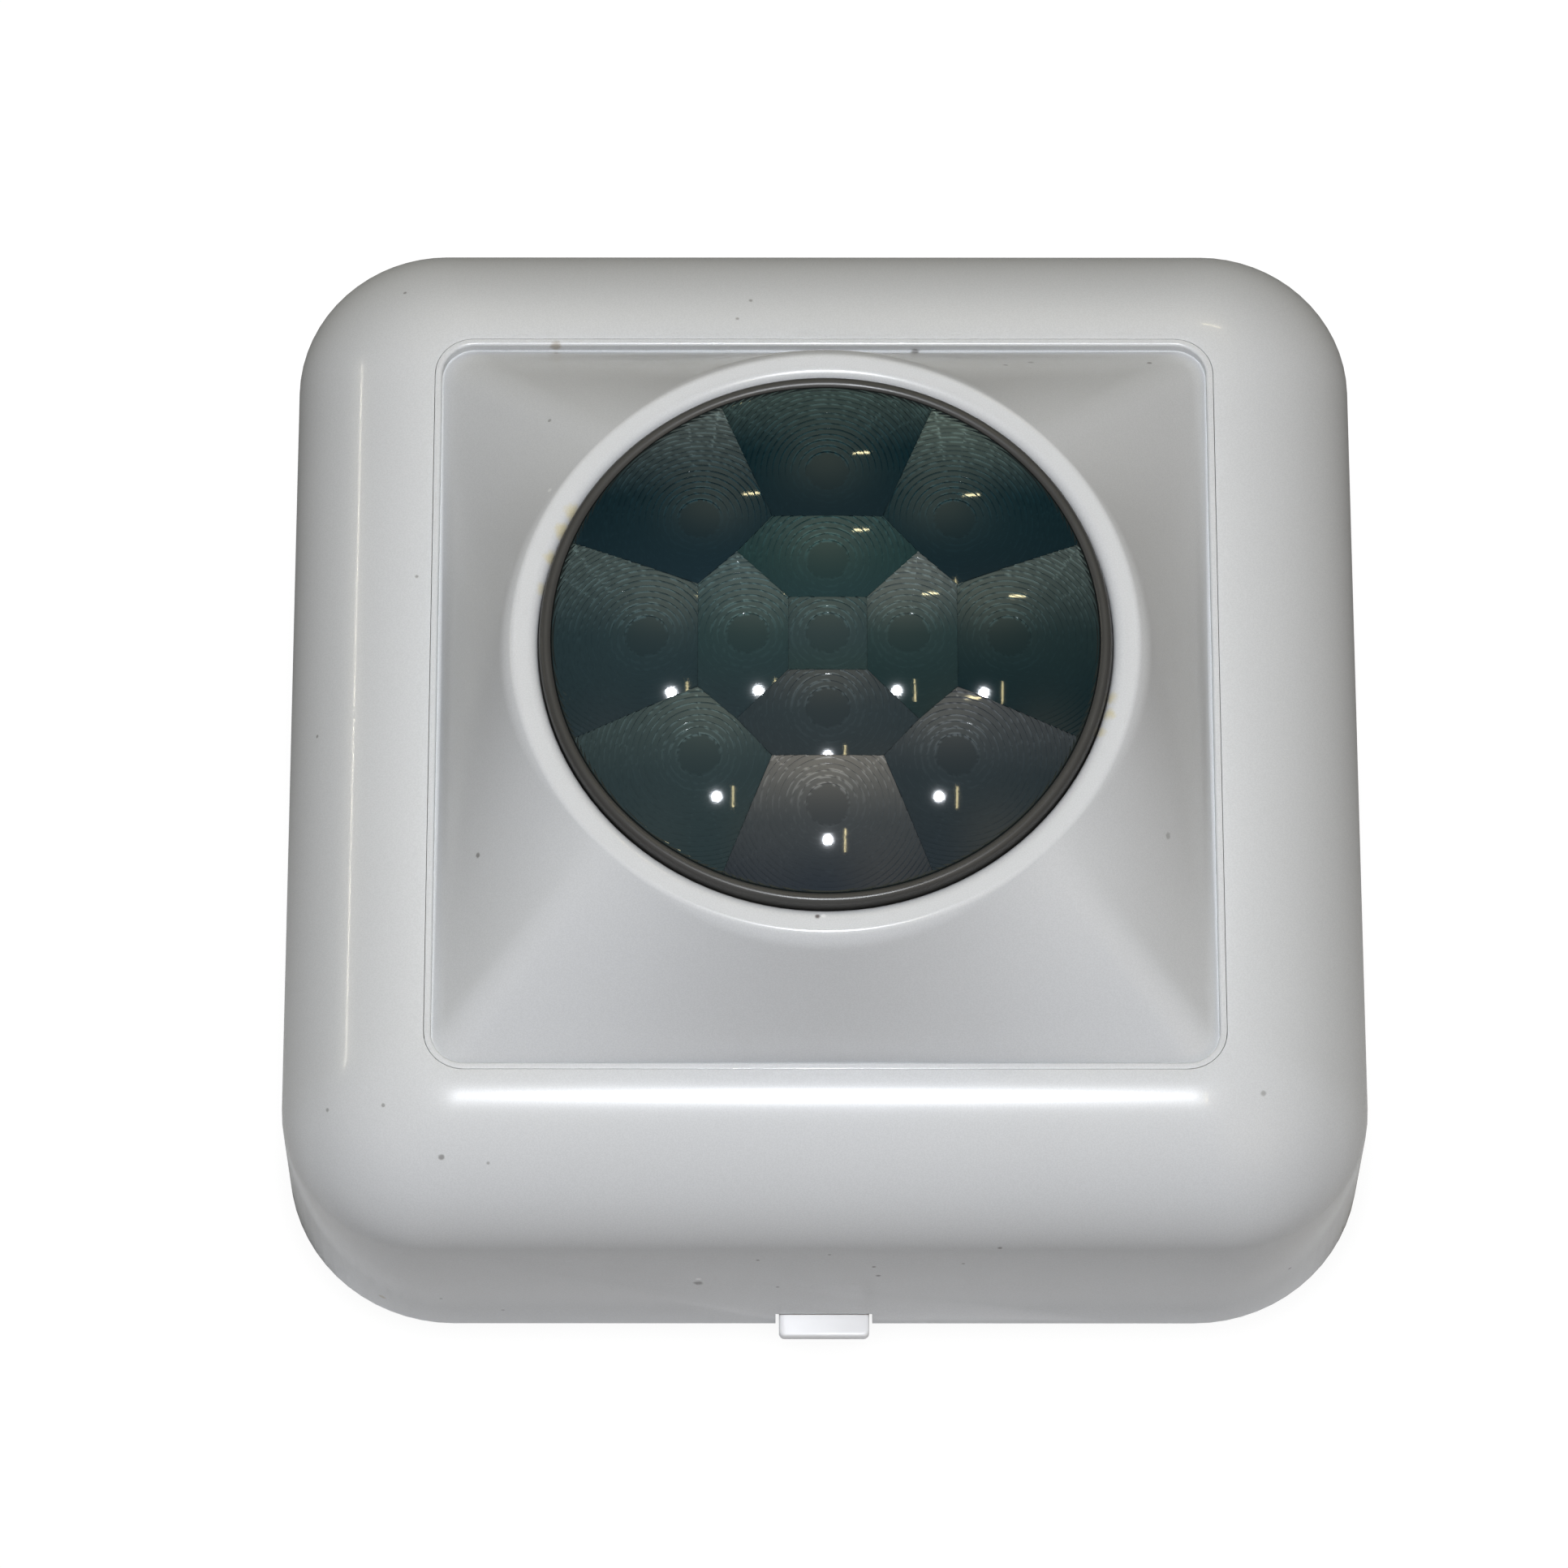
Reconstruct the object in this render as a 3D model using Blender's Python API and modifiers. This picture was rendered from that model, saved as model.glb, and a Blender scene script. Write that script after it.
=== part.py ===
"""Ceiling motion sensor: a square pillow-edged housing with a domed Fresnel lens, its base plate
and its electronics.

Frame: +Z points from the mounting surface towards the lens, -Y is the side with the release latch.
The origin is the centre of the base plate's mounting face. Sizes below are in millimetres.
"""

import math

import bmesh
import bpy
from mathutils import Vector

MM = 0.001

# Housing
COVER_HALF = 55.0      # half width of the housing at its open edge
COVER_R = 17.2         # plan radius of its corners there
TOP_CORNER_R = 15.0    # and where the pillow edge starts
PILLOW_POWER = 1.75    # exponent of the pillow edge; 2 would be an ellipse
DRAFT = 0.4            # how much narrower each wall is at the top of its straight part
COVER_Z0 = 0.3         # the open edge stays clear of the mounting surface
WALL_TOP = 22.0        # where the straight wall turns into the pillow edge
FRAME_Z = 35.1         # level of the flat round the opening
FRAME_HALF = 40.45     # where the pillow edge runs out into that flat
FRAME_R = 4.6
OPEN_HALF = 39.97      # half width of the opening in the cover
OPEN_R = 4.05
OPEN_BREAK = 0.12      # broken edge of the opening
WALL = 2.2
EARS = [(0.0, 46.0), (-46.0, 0.0), (0.0, -46.0), (46.0, 0.0)]   # bezel fixings
HOOKS_X = (-28.0, 28.0)

# Base plate
BASE_HALF = 52.3
BASE_R = 14.9
BASE_EDGE = 0.5        # chamfer round the mounting face
FLOOR = 1.6
RIM_H = 8.5
RIM_T = 2.0

# Board
PCB_X = 35.0           # half width
PCB_Y0, PCB_Y1 = -37.0, 31.0
PCB_Z0 = 12.3
PCB_TOP = PCB_Z0 + 1.6
STAND_Z = PCB_TOP + 0.1            # components stand just clear of the board
PCB_FIXINGS = [(-31.0, -33.0), (31.0, -33.0), (-31.0, 27.0), (31.0, 27.0)]

# Moving pieces
LATCH_HALF = 4.6
LATCH_TIP = -57.2
TAMPER = (-24.0, -26.0)
TAMPER_TOP = 19.0      # top of the tamper switch body

for old in list(bpy.data.objects):
    bpy.data.objects.remove(old, do_unlink=True)

parts = bpy.data.collections.new("motion_sensor")
helpers = bpy.data.collections.new("cutters")
for group in (parts, helpers):
    bpy.context.scene.collection.children.link(group)


# ---------------------------------------------------------------- materials


def material(name, colour, roughness, metallic=0.0):
    mat = bpy.data.materials.new(name)
    mat.use_nodes = True
    shader = mat.node_tree.nodes["Principled BSDF"]
    shader.inputs["Base Color"].default_value = (*colour, 1.0)
    shader.inputs["Roughness"].default_value = roughness
    shader.inputs["Metallic"].default_value = metallic
    mat.diffuse_color = (*colour, 1.0)
    return mat


HOUSING = material("housing_plastic", (0.72, 0.73, 0.72), roughness=0.35)
INSERT = material("insert_plastic", (0.74, 0.75, 0.74), roughness=0.33)
LATCH = material("latch_plastic", (0.83, 0.83, 0.82), roughness=0.38)
LENS = material("lens_plastic", (0.025, 0.035, 0.035), roughness=0.22)
RIM = material("lens_rim_plastic", (0.06, 0.06, 0.065), roughness=0.4)
BASE = material("base_plastic", (0.78, 0.78, 0.77), roughness=0.45)
RUBBER = material("grommet_rubber", (0.03, 0.03, 0.03), roughness=0.7)
BOARD = material("board_laminate", (0.02, 0.16, 0.06), roughness=0.4)
BLACK = material("component_plastic", (0.02, 0.02, 0.022), roughness=0.45)
BLUE = material("trimmer_plastic", (0.03, 0.12, 0.42), roughness=0.4)
RED = material("switch_plastic", (0.45, 0.03, 0.03), roughness=0.4)
WHITE = material("actuator_plastic", (0.8, 0.8, 0.78), roughness=0.4)
GREEN = material("terminal_plastic", (0.04, 0.3, 0.12), roughness=0.4)
STEEL = material("screw_steel", (0.62, 0.62, 0.63), roughness=0.3, metallic=1.0)
CAN = material("can_steel", (0.7, 0.7, 0.71), roughness=0.22, metallic=1.0)
FILTER = material("filter_window", (0.05, 0.045, 0.05), roughness=0.12, metallic=0.3)
SLEEVE = material("capacitor_sleeve", (0.02, 0.03, 0.07), roughness=0.35)
LED = material("led_epoxy", (0.55, 0.03, 0.03), roughness=0.15)


# ---------------------------------------------------------------- building blocks


def new_object(name, data, mat=None):
    obj = bpy.data.objects.new(name, data)
    parts.objects.link(obj)
    if mat:
        data.materials.append(mat)
    return obj


def move_to(obj, collection):
    for current in list(obj.users_collection):
        current.objects.unlink(obj)
    collection.objects.link(obj)


def take_primitive(name, mat):
    """Names the primitive just added and puts it among the parts."""
    obj = bpy.context.object
    obj.name = name
    move_to(obj, parts)
    if mat:
        obj.data.materials.append(mat)
    return obj


def shade(mesh, sharp_angle=35.0):
    mesh.shade_smooth()
    mesh.set_sharp_from_angle(angle=math.radians(sharp_angle))


def mesh_object(name, bm, mat=None):
    mesh = bpy.data.meshes.new(name)
    bm.to_mesh(mesh)
    bm.free()
    return new_object(name, mesh, mat)


def around(spot, half_x, half_y, z0, z1):
    """Low and high corners of a block centred on spot in plan."""
    x, y = spot
    return (x - half_x, y - half_y, z0), (x + half_x, y + half_y, z1)


def box(name, low, high, mat=None, bevel=0.0, segments=2):
    """An axis-aligned block between two corners, its edges rounded by a Bevel modifier."""
    low, high = Vector(low) * MM, Vector(high) * MM
    bpy.ops.mesh.primitive_cube_add(size=1.0, location=(low + high) / 2)
    obj = take_primitive(name, mat)
    obj.scale = high - low
    bpy.ops.object.transform_apply(location=False, rotation=False, scale=True)
    if bevel:
        mod = obj.modifiers.new("edges", "BEVEL")
        mod.width = bevel * MM
        mod.segments = segments
        mod.limit_method = "ANGLE"
    return obj


def rod(name, spot, radius, z0, z1, mat=None, sides=24):
    """An upright cylinder between z0 and z1."""
    bpy.ops.mesh.primitive_cylinder_add(
        vertices=sides, radius=radius * MM, depth=abs(z1 - z0) * MM
    )
    obj = take_primitive(name, mat)
    obj.location = Vector((*spot, (z0 + z1) / 2)) * MM
    shade(obj.data)
    return obj


def turned(name, profile, mat, spot=(0.0, 0.0), steps=32, closed=False):
    """(radius, height) pairs, running down the outer side, turned round Z by a Screw modifier."""
    mesh = bpy.data.meshes.new(name)
    verts = [(radius * MM, 0.0, height * MM) for radius, height in profile]
    edges = [(i, i + 1) for i in range(len(verts) - 1)]
    if closed:
        edges.append((len(verts) - 1, 0))
    mesh.from_pydata(verts, edges, [])
    obj = new_object(name, mesh, mat)
    obj.location = Vector((*spot, 0.0)) * MM
    mod = obj.modifiers.new("turn", "SCREW")
    mod.axis = "Z"
    mod.angle = 2 * math.pi
    mod.steps = mod.render_steps = steps
    mod.use_merge_vertices = True
    mod.merge_threshold = 1e-6
    mod.use_smooth_shade = True
    return obj


def cut(obj, tool, operation="DIFFERENCE"):
    """Applies tool to obj with a Boolean modifier and hides tool among the helpers."""
    move_to(tool, helpers)
    tool.hide_render = True
    tool.display_type = "WIRE"
    mod = obj.modifiers.new(tool.name, "BOOLEAN")
    mod.operation = operation
    mod.object = tool
    mod.solver = "EXACT"


def join(obj, tool):
    cut(obj, tool, "UNION")


def blocks(name, boxes):
    """Several separate blocks, as (low, high) corners, in one mesh."""
    bm = bmesh.new()
    for low, high in boxes:
        low, high = Vector(low) * MM, Vector(high) * MM
        size, centre = high - low, (low + high) / 2
        for vert in bmesh.ops.create_cube(bm, size=1.0)["verts"]:
            vert.co = Vector(vert.co[i] * size[i] + centre[i] for i in range(3))
    return mesh_object(name, bm)


def pegs(name, spots, radius, z0, z1, sides=16):
    """Several separate upright cylinders in one mesh."""
    bm = bmesh.new()
    for x, y in spots:
        made = bmesh.ops.create_cone(
            bm, cap_ends=True, segments=sides,
            radius1=radius * MM, radius2=radius * MM, depth=(z1 - z0) * MM,
        )
        for vert in made["verts"]:
            vert.co += Vector((x, y, (z0 + z1) / 2)) * MM
    obj = mesh_object(name, bm)
    shade(obj.data)
    return obj


def section(half, radius, z, steps=6):
    """A rounded square, counter-clockwise, with steps segments in each corner."""
    points = []
    for corner in range(4):
        centre_x = (half - radius) * (1 if corner in (0, 3) else -1)
        centre_y = (half - radius) * (1 if corner in (0, 1) else -1)
        for i in range(steps + 1):
            angle = (corner + i / steps) * math.pi / 2
            x = centre_x + radius * math.cos(angle)
            y = centre_y + radius * math.sin(angle)
            points.append((x, y, z))
    return points


def loft(name, rings, mat, closed=True):
    """Skins sections of equal count; closed joins the last to the first, otherwise both are capped."""
    bm = bmesh.new()
    made = [[bm.verts.new(Vector(point) * MM) for point in ring] for ring in rings]
    count = len(made[0])
    for ring, following in zip(made, made[1:] + made[:1] if closed else made[1:]):
        for i in range(count):
            j = (i + 1) % count
            bm.faces.new((ring[i], ring[j], following[j], following[i]))
    if not closed:
        bm.faces.new(list(reversed(made[0])))
        bm.faces.new(made[-1])
    bmesh.ops.recalc_face_normals(bm, faces=bm.faces)
    obj = mesh_object(name, bm, mat)
    shade(obj.data, sharp_angle=40.0)
    return obj


def fastener(name, spot, seat, head_r, head_h, length, up=True):
    """A pan-head screw with a cross recess.

    seat is the level under its head, length the reach beyond it; up puts the head above it.
    """
    shank_r = 1.05
    way = 1 if up else -1
    profile = [
        (0.0, seat + way * head_h),
        (head_r * 0.72, seat + way * head_h),
        (head_r, seat + way * head_h * 0.55),
        (head_r, seat),
        (shank_r, seat),
        (shank_r, seat - way * (length - shank_r * 0.8)),
        (shank_r * 0.35, seat - way * length),
        (0.0, seat - way * length),
    ]
    if not up:
        profile.reverse()
    screw = turned(name, profile, STEEL, spot, steps=10)
    depth, arm, arm_half = head_h * 0.6, head_r * 0.62, head_r * 0.13
    low, high = sorted((seat + way * (head_h - depth), seat + way * (head_h + 0.5)))
    for axis, half_x, half_y in (("x", arm, arm_half), ("y", arm_half, arm)):
        cut(screw, box(f"{name}_recess_{axis}", *around(spot, half_x, half_y, low, high)))


# ---------------------------------------------------------------- front cover


def pillow(turn, inset=0.0):
    """Half width, corner radius and level on the pillow edge.

    turn runs from 0 at the wall to 1 at the frame.
    """
    angle = turn * math.pi / 2
    out = math.cos(angle) ** (2 / PILLOW_POWER)
    up = math.sin(angle) ** (2 / PILLOW_POWER)
    half = FRAME_HALF + (COVER_HALF - DRAFT - FRAME_HALF - inset) * out
    radius = FRAME_R + (TOP_CORNER_R - FRAME_R - inset) * out
    z = WALL_TOP + (FRAME_Z - WALL_TOP - inset) * up
    return half, radius, z


# up the outside, through the opening and down the inside
front_cover = loft(
    "front_cover",
    [
        section(COVER_HALF, COVER_R, COVER_Z0),
        *(section(*pillow(turn)) for turn in (0.0, 0.14, 0.28, 0.42, 0.56, 0.7, 0.82, 0.92)),
        section(FRAME_HALF + 0.1, FRAME_R + 0.1, FRAME_Z),
        section(OPEN_HALF + OPEN_BREAK, OPEN_R + OPEN_BREAK, FRAME_Z),
        section(OPEN_HALF, OPEN_R, FRAME_Z - OPEN_BREAK),
        section(OPEN_HALF, OPEN_R, FRAME_Z - WALL),
        *(section(*pillow(turn, WALL)) for turn in (0.85, 0.65, 0.45, 0.25, 0.0)),
        section(COVER_HALF - WALL, COVER_R - WALL, COVER_Z0),
    ],
    HOUSING,
)
join(front_cover, pegs("cover_bosses", EARS, radius=2.8, z0=23.9, z1=31.9, sides=12))
cut(front_cover, pegs("cover_pilots", EARS, radius=1.25, z0=22.0, z1=29.0, sides=8))
hooks = [((x - 3.5, 50.4, 2.0), (x + 3.5, 53.6, 3.7)) for x in HOOKS_X]
join(front_cover, blocks("cover_hooks", hooks))
join(front_cover, blocks("latch_ledge", [((-3.2, -53.6, 5.4), (3.2, -51.9, 6.6))]))
NOTCH_HALF = LATCH_HALF + 0.35
cut(front_cover, box("latch_notch", (-NOTCH_HALF, -56.5, -1.0), (NOTCH_HALF, -51.0, 3.4)))

# ---------------------------------------------------------------- lens insert

INSERT_HALF = 39.88
INSERT_R = 3.96
INSERT_WALL = 2.0
LIP = 0.68
STEP_Z = FRAME_Z - 1.3  # level of the step inside the lip
FOOT_R = 0.5           # hollow radius at the foot of the sweep
EDGE_ROLL = 0.9        # rounding at the edge of the land
WIDE_ROLL = 4.5        # and the wider one that takes it into the slope
KNEE = math.radians(42)  # slope at which one rounding hands over to the other
FOOT_END = 0.35        # shares of the sweep where its foot and its straight run end
RUN_END = 0.6
RING_Z = 50.0          # level of the land round the lens
LAND_R = 30.8          # where the land starts to roll down
RING_IN = 29.7
THROAT_R = 28.6        # the land's inner edge rounds down to this
THROAT_Z = 49.0
SEAT_R = 29.95
SEAT_Z = 48.1
SEAT_END = 43.7
EAR_Z = 21.6           # underside of the ears
EAR_TOP = EAR_Z + 2.0  # the skirt ends level with their top
EAR_HALF = 3.6


def square_reach(angle, half, radius):
    """Distance from the centre to a rounded square, in the direction of angle."""
    minor, major = sorted((abs(math.cos(angle)), abs(math.sin(angle))))
    flat = half - radius
    if half * minor / major <= flat:
        return half / major
    return flat * (major + minor) + math.sqrt(radius**2 - (flat * (major - minor)) ** 2)


def insert_angles():
    """Directions round the insert, with two extra ones in each corner."""
    turn = math.degrees(math.atan2(INSERT_HALF - INSERT_R, INSERT_HALF))
    into_corner = (45.0 - turn) * 0.4
    spread = [turn * (i / 4) for i in range(-4, 5)] + [45.0 - into_corner, 45.0 + into_corner]
    return [math.radians(90 * side + angle) for side in range(4) for angle in spread]


ANGLES = insert_angles()


def polar(reach, angle, z):
    return reach * math.cos(angle), reach * math.sin(angle), z


def square_ring(inset, z):
    """The insert's outline, moved inwards by inset."""
    half, radius = INSERT_HALF - inset, INSERT_R - inset
    return [polar(square_reach(angle, half, radius), angle, z) for angle in ANGLES]


def round_ring(radius, z):
    return [polar(radius, angle, z) for angle in ANGLES]


def roll(slope):
    """Reach and drop of the rounding from the land to a slope: a close curve, then a wide one."""
    knee = min(slope, KNEE)
    reach = EDGE_ROLL * math.sin(knee) + WIDE_ROLL * (math.sin(slope) - math.sin(knee))
    drop = EDGE_ROLL * (1 - math.cos(knee)) + WIDE_ROLL * (math.cos(knee) - math.cos(slope))
    return reach, drop


def foot(slope):
    """Reach and climb of the hollow foot up to a slope."""
    return FOOT_R * math.sin(slope), FOOT_R * (1 - math.cos(slope))


def lean(reach):
    """Slope that takes foot, straight run and rolled top over reach and up to the land."""
    low, high = 0.1, 1.4
    for _ in range(50):
        slope = (low + high) / 2
        over, drop = roll(slope)
        foot_reach, foot_climb = foot(slope)
        run = reach - over - foot_reach
        climb = drop + foot_climb + run * math.tan(slope)
        if climb < RING_Z - STEP_Z:
            low = slope
        else:
            high = slope
    return low


def sweep_ring(share, inset=0.0):
    """A section of the sweep from the step (share 0) to the land (1), inset along its normal."""
    ring = []
    for angle in ANGLES:
        reach = square_reach(angle, INSERT_HALF - LIP, INSERT_R - LIP) - LAND_R
        slope = lean(reach)
        if share < FOOT_END:
            tilt = slope * share / FOOT_END
            along, climb = foot(tilt)
            z = STEP_Z + climb
        elif share < RUN_END:
            tilt = slope
            foot_reach, foot_climb = foot(slope)
            straight = reach - roll(slope)[0] - foot_reach
            run = straight * (share - FOOT_END) / (RUN_END - FOOT_END)
            along = foot_reach + run
            z = STEP_Z + foot_climb + run * math.tan(tilt)
        else:
            tilt = slope * (1 - (share - RUN_END) / (1 - RUN_END))
            over, drop = roll(tilt)
            along, z = reach - over, RING_Z - drop
        radius = LAND_R + reach - along - inset * math.sin(tilt)
        ring.append(polar(radius, angle, z - inset * math.cos(tilt)))
    return ring


# up the skirt, over the sweep, down the throat and back along the underside
under = [sweep_ring(share, INSERT_WALL) for share in (RUN_END, 0.45, 0.3, 0.1)]
lens_bezel = loft(
    "lens_bezel",
    [
        square_ring(0.0, EAR_TOP),
        square_ring(0.0, FRAME_Z - 0.2),
        square_ring(0.15, FRAME_Z),
        square_ring(LIP - 0.1, FRAME_Z),
        *(sweep_ring(s) for s in (0.0, 0.12, 0.24, FOOT_END, RUN_END, 0.68, 0.75, 0.87, 1.0)),
        round_ring(RING_IN, RING_Z),
        round_ring(THROAT_R + 0.35, RING_Z - 0.35),
        round_ring(THROAT_R, THROAT_Z),
        round_ring(THROAT_R, SEAT_Z),
        round_ring(SEAT_R, SEAT_Z),
        round_ring(SEAT_R, SEAT_END),
        [(x, y, SEAT_END) for x, y, _ in under[0]],
        *under[1:],
        square_ring(INSERT_WALL, FRAME_Z - 3.2),
        square_ring(INSERT_WALL, EAR_TOP),
    ],
    INSERT,
)

for i, spot in enumerate(EARS):
    # each ear reaches under its boss, and its root stands up inside the skirt's wall
    along = Vector((*spot, 0)).normalized()
    side = Vector((-along.y, along.x, 0)) * EAR_HALF
    for tag, near, far, z0, z1 in (
        ("ear", INSERT_HALF - 1.6, 49.2, EAR_Z, EAR_TOP),
        ("ear_root", INSERT_HALF - 1.6, INSERT_HALF - 0.4, EAR_Z + 1.0, EAR_Z + 6.0),
    ):
        start, end = along * near - side, along * far + side
        low = (min(start.x, end.x), min(start.y, end.y), z0)
        high = (max(start.x, end.x), max(start.y, end.y), z1)
        join(lens_bezel, blocks(f"{tag}_{i + 1}", [(low, high)]))
cut(lens_bezel, pegs("ear_holes", EARS, 1.6, EAR_Z - 1.0, EAR_TOP + 1.0, sides=12))
join(lens_bezel, rod("tamper_post", TAMPER, 2.2, 29.2, 44.8, sides=10))

for i, spot in enumerate(EARS):
    fastener(
        f"bezel_screw_{i + 1}", spot, EAR_Z - 0.15, head_r=2.5, head_h=1.7, length=7.0, up=False
    )

# ---------------------------------------------------------------- lens

LENS_R = 27.25
LENS_EDGE_Z = 50.7
LENS_TOP_Z = 52.7
LENS_T = 1.1           # thickness of the dome
LENS_BORE = LENS_R - 1.3
FLANGE_R = 29.6        # outer radius of the lens's flange and of the rim ring's


def dome(lowered, reach, count):
    """(radius, height) points on the lens's spherical cap, from its top out to reach."""
    sag = LENS_TOP_Z - LENS_EDGE_Z
    ball = (LENS_R**2 + sag**2) / (2 * sag)
    centre = LENS_TOP_Z - lowered - ball
    radii = [reach * i / count for i in range(count + 1)]
    return [(radius, centre + math.sqrt(ball**2 - radius**2)) for radius in radii]


lens_profile = [
    *dome(0.0, LENS_R - 0.3, 4),
    (LENS_R, LENS_EDGE_Z - 0.35), (LENS_R, 46.75),
    (FLANGE_R, 46.7), (FLANGE_R, 45.7), (LENS_BORE, 45.7),
    *reversed(dome(LENS_T, LENS_BORE, 3)),
]
turned("fresnel_lens", lens_profile, LENS, steps=44)

# ring profiles: radius, height
RIM_PROFILE = [
    (27.45, 50.7), (27.8, 50.8), (28.2, 50.7), (28.45, 50.25), (28.45, 47.85),
    (FLANGE_R, 47.8), (FLANGE_R, 46.95), (27.35, 46.95), (27.35, 50.6),
]
turned("lens_rim_ring", RIM_PROFILE, RIM, steps=44, closed=True)
RETAINER_PROFILE = [(26.4, 45.45), (29.65, 45.45), (29.65, 43.9), (28.4, 42.9), (26.4, 42.9)]
turned("lens_retaining_ring", RETAINER_PROFILE, BLACK, steps=40, closed=True)

# ---------------------------------------------------------------- base plate

SLOT_X = 41.65         # two mounting slots, 83.3 mm apart
SLOT_END_Y = 4.0       # centres of their rounded ends
SLOT_R = 2.2
CABLE_SPOT = (0.0, 42.0)
CABLE_R = 5.0
RAIL_X = LATCH_HALF + 0.4          # inner faces of the latch rails
RAIL_T = 1.6

base_plate = loft(
    "base_plate",
    [
        section(BASE_HALF - BASE_EDGE, BASE_R - BASE_EDGE, 0.0),
        section(BASE_HALF, BASE_R, BASE_EDGE),
        section(BASE_HALF, BASE_R, RIM_H),
        section(BASE_HALF - RIM_T, BASE_R - RIM_T, RIM_H),
        section(BASE_HALF - RIM_T, BASE_R - RIM_T, FLOOR),
    ],
    BASE,
    closed=False,
)
# posts, rails, ribs and collar start below the floor's upper face, so they fuse with it
join(base_plate, pegs("board_posts", PCB_FIXINGS, 3.0, FLOOR - 0.8, PCB_Z0 - 0.2, sides=14))
cut(base_plate, pegs("post_pilots", PCB_FIXINGS, 1.25, 5.0, PCB_Z0 + 1.0, sides=10))
rails = [
    ((x, -49.6, FLOOR - 0.6), (x + RAIL_T, -39.5, 4.0)) for x in (-RAIL_X - RAIL_T, RAIL_X)
]
join(base_plate, blocks("latch_rails", rails))
ribs = [around((x, 0.0), 0.6, 30.0, FLOOR - 0.6, 3.6) for x in (-14.0, 14.0)]
join(base_plate, blocks("floor_ribs", ribs))
join(base_plate, rod("entry_collar", CABLE_SPOT, CABLE_R + 2.2, FLOOR - 0.8, 4.2))
cut(base_plate, rod("entry_hole", CABLE_SPOT, CABLE_R, -1.0, 6.0))
gate = ((-RAIL_X - 0.1, -53.5, FLOOR), (RAIL_X + 0.1, -49.9, RIM_H + 1.0))
cut(base_plate, blocks("latch_gate", [gate]))
windows = [((x - 4.3, 49.4, FLOOR + 0.1), (x + 4.3, 53.5, 6.3)) for x in HOOKS_X]
cut(base_plate, blocks("hook_windows", windows))
for i, x in enumerate((-SLOT_X, SLOT_X)):
    name = f"mount_slot_{i + 1}"
    cut(base_plate, blocks(name, [around((x, 0.0), SLOT_R, SLOT_END_Y, -1.0, 4.0)]))
    for j, y in enumerate((-SLOT_END_Y, SLOT_END_Y)):
        # slightly taller than the block, so that no end faces coincide
        cut(base_plate, rod(f"{name}_end_{j + 1}", (x, y), SLOT_R, -1.05, 4.05, sides=16))

GROMMET_PROFILE = [    # radius, height
    (3.2, 5.9), (6.4, 5.9), (6.9, 5.4), (6.9, 4.5), (4.7, 4.4),
    (4.7, 0.3), (3.0, 0.3), (2.6, 1.0), (2.6, 5.3),
]
turned("cable_grommet", GROMMET_PROFILE, RUBBER, CABLE_SPOT, steps=18, closed=True)

# ---------------------------------------------------------------- release latch

latch = box(
    "release_latch",
    (-LATCH_HALF, LATCH_TIP, FLOOR + 0.35),
    (LATCH_HALF, -41.0, FLOOR + 1.45),
    LATCH,
)
corners = latch.modifiers.new("corners", "BEVEL")
corners.width = 1.1 * MM
corners.segments = 4
corners.limit_method = "WEIGHT"
# only the two upright edges at the -Y end are rounded
weights = latch.data.attributes.new("bevel_weight_edge", "FLOAT", "EDGE")
for edge in latch.data.edges:
    start, end = (latch.data.vertices[i].co for i in edge.vertices)
    upright = abs(start.x - end.x) + abs(start.y - end.y) < 1e-7
    weights.data[edge.index].value = 1.0 if upright and start.y < 0 else 0.0
join(latch, blocks("latch_post", [((-3.0, -50.4, FLOOR + 1.0), (3.0, -48.8, 9.4))]))
join(latch, blocks("latch_barb", [((-3.0, -51.3, 7.4), (3.0, -50.0, 9.0))]))

# ---------------------------------------------------------------- board

pcb = box("pcb", (-PCB_X, PCB_Y0, PCB_Z0), (PCB_X, PCB_Y1, PCB_TOP), BOARD)
cut(pcb, pegs("board_holes", PCB_FIXINGS, 1.7, PCB_Z0 - 1.0, PCB_TOP + 1.0, sides=12))
for i, spot in enumerate(PCB_FIXINGS):
    fastener(f"pcb_screw_{i + 1}", spot, PCB_TOP + 0.12, head_r=2.7, head_h=1.8, length=7.5)

# ---------------------------------------------------------------- detector, under the lens

CENTRE = (0.0, 0.0)
holder = box("pyro_holder", *around(CENTRE, 6.5, 6.5, STAND_Z, 19.6), BLACK, bevel=0.6)
cut(holder, rod("holder_bore", CENTRE, 3.4, 12.0, 22.0, sides=20))
CAN_PROFILE = [        # radius, height
    (0.0, 24.4), (3.9, 24.4), (4.15, 24.1), (4.15, 20.5), (4.6, 20.4), (4.6, 19.75), (0.0, 19.75),
]
can = turned("pyro_can", CAN_PROFILE, CAN, steps=28)
cut(can, box("window_recess", *around(CENTRE, 2.6, 2.1, 24.0, 25.5)))
box("pyro_window", *around(CENTRE, 2.5, 2.0, 24.08, 24.42), FILTER)

# ---------------------------------------------------------------- fixed components

LED_R = 1.5
LED_DOME_Z = 18.8      # centre of its round end
led_arc = [math.radians(degrees) for degrees in (25, 50, 75, 90)]
led_profile = [
    (0.0, LED_DOME_Z + LED_R),
    *((LED_R * math.sin(a), LED_DOME_Z + LED_R * math.cos(a)) for a in led_arc),
    (LED_R, 15.4), (1.9, 15.3), (1.9, STAND_Z), (0.0, STAND_Z),
]
turned("walk_test_led", led_profile, LED, (0.0, -15.0), steps=16)

box("relay", (-29.0, -12.0, STAND_Z), (-18.5, 8.0, 24.0), WHITE, bevel=0.4)

IC_LEGS_X = [-14.06 + 1.27 * i for i in range(7)]


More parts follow.
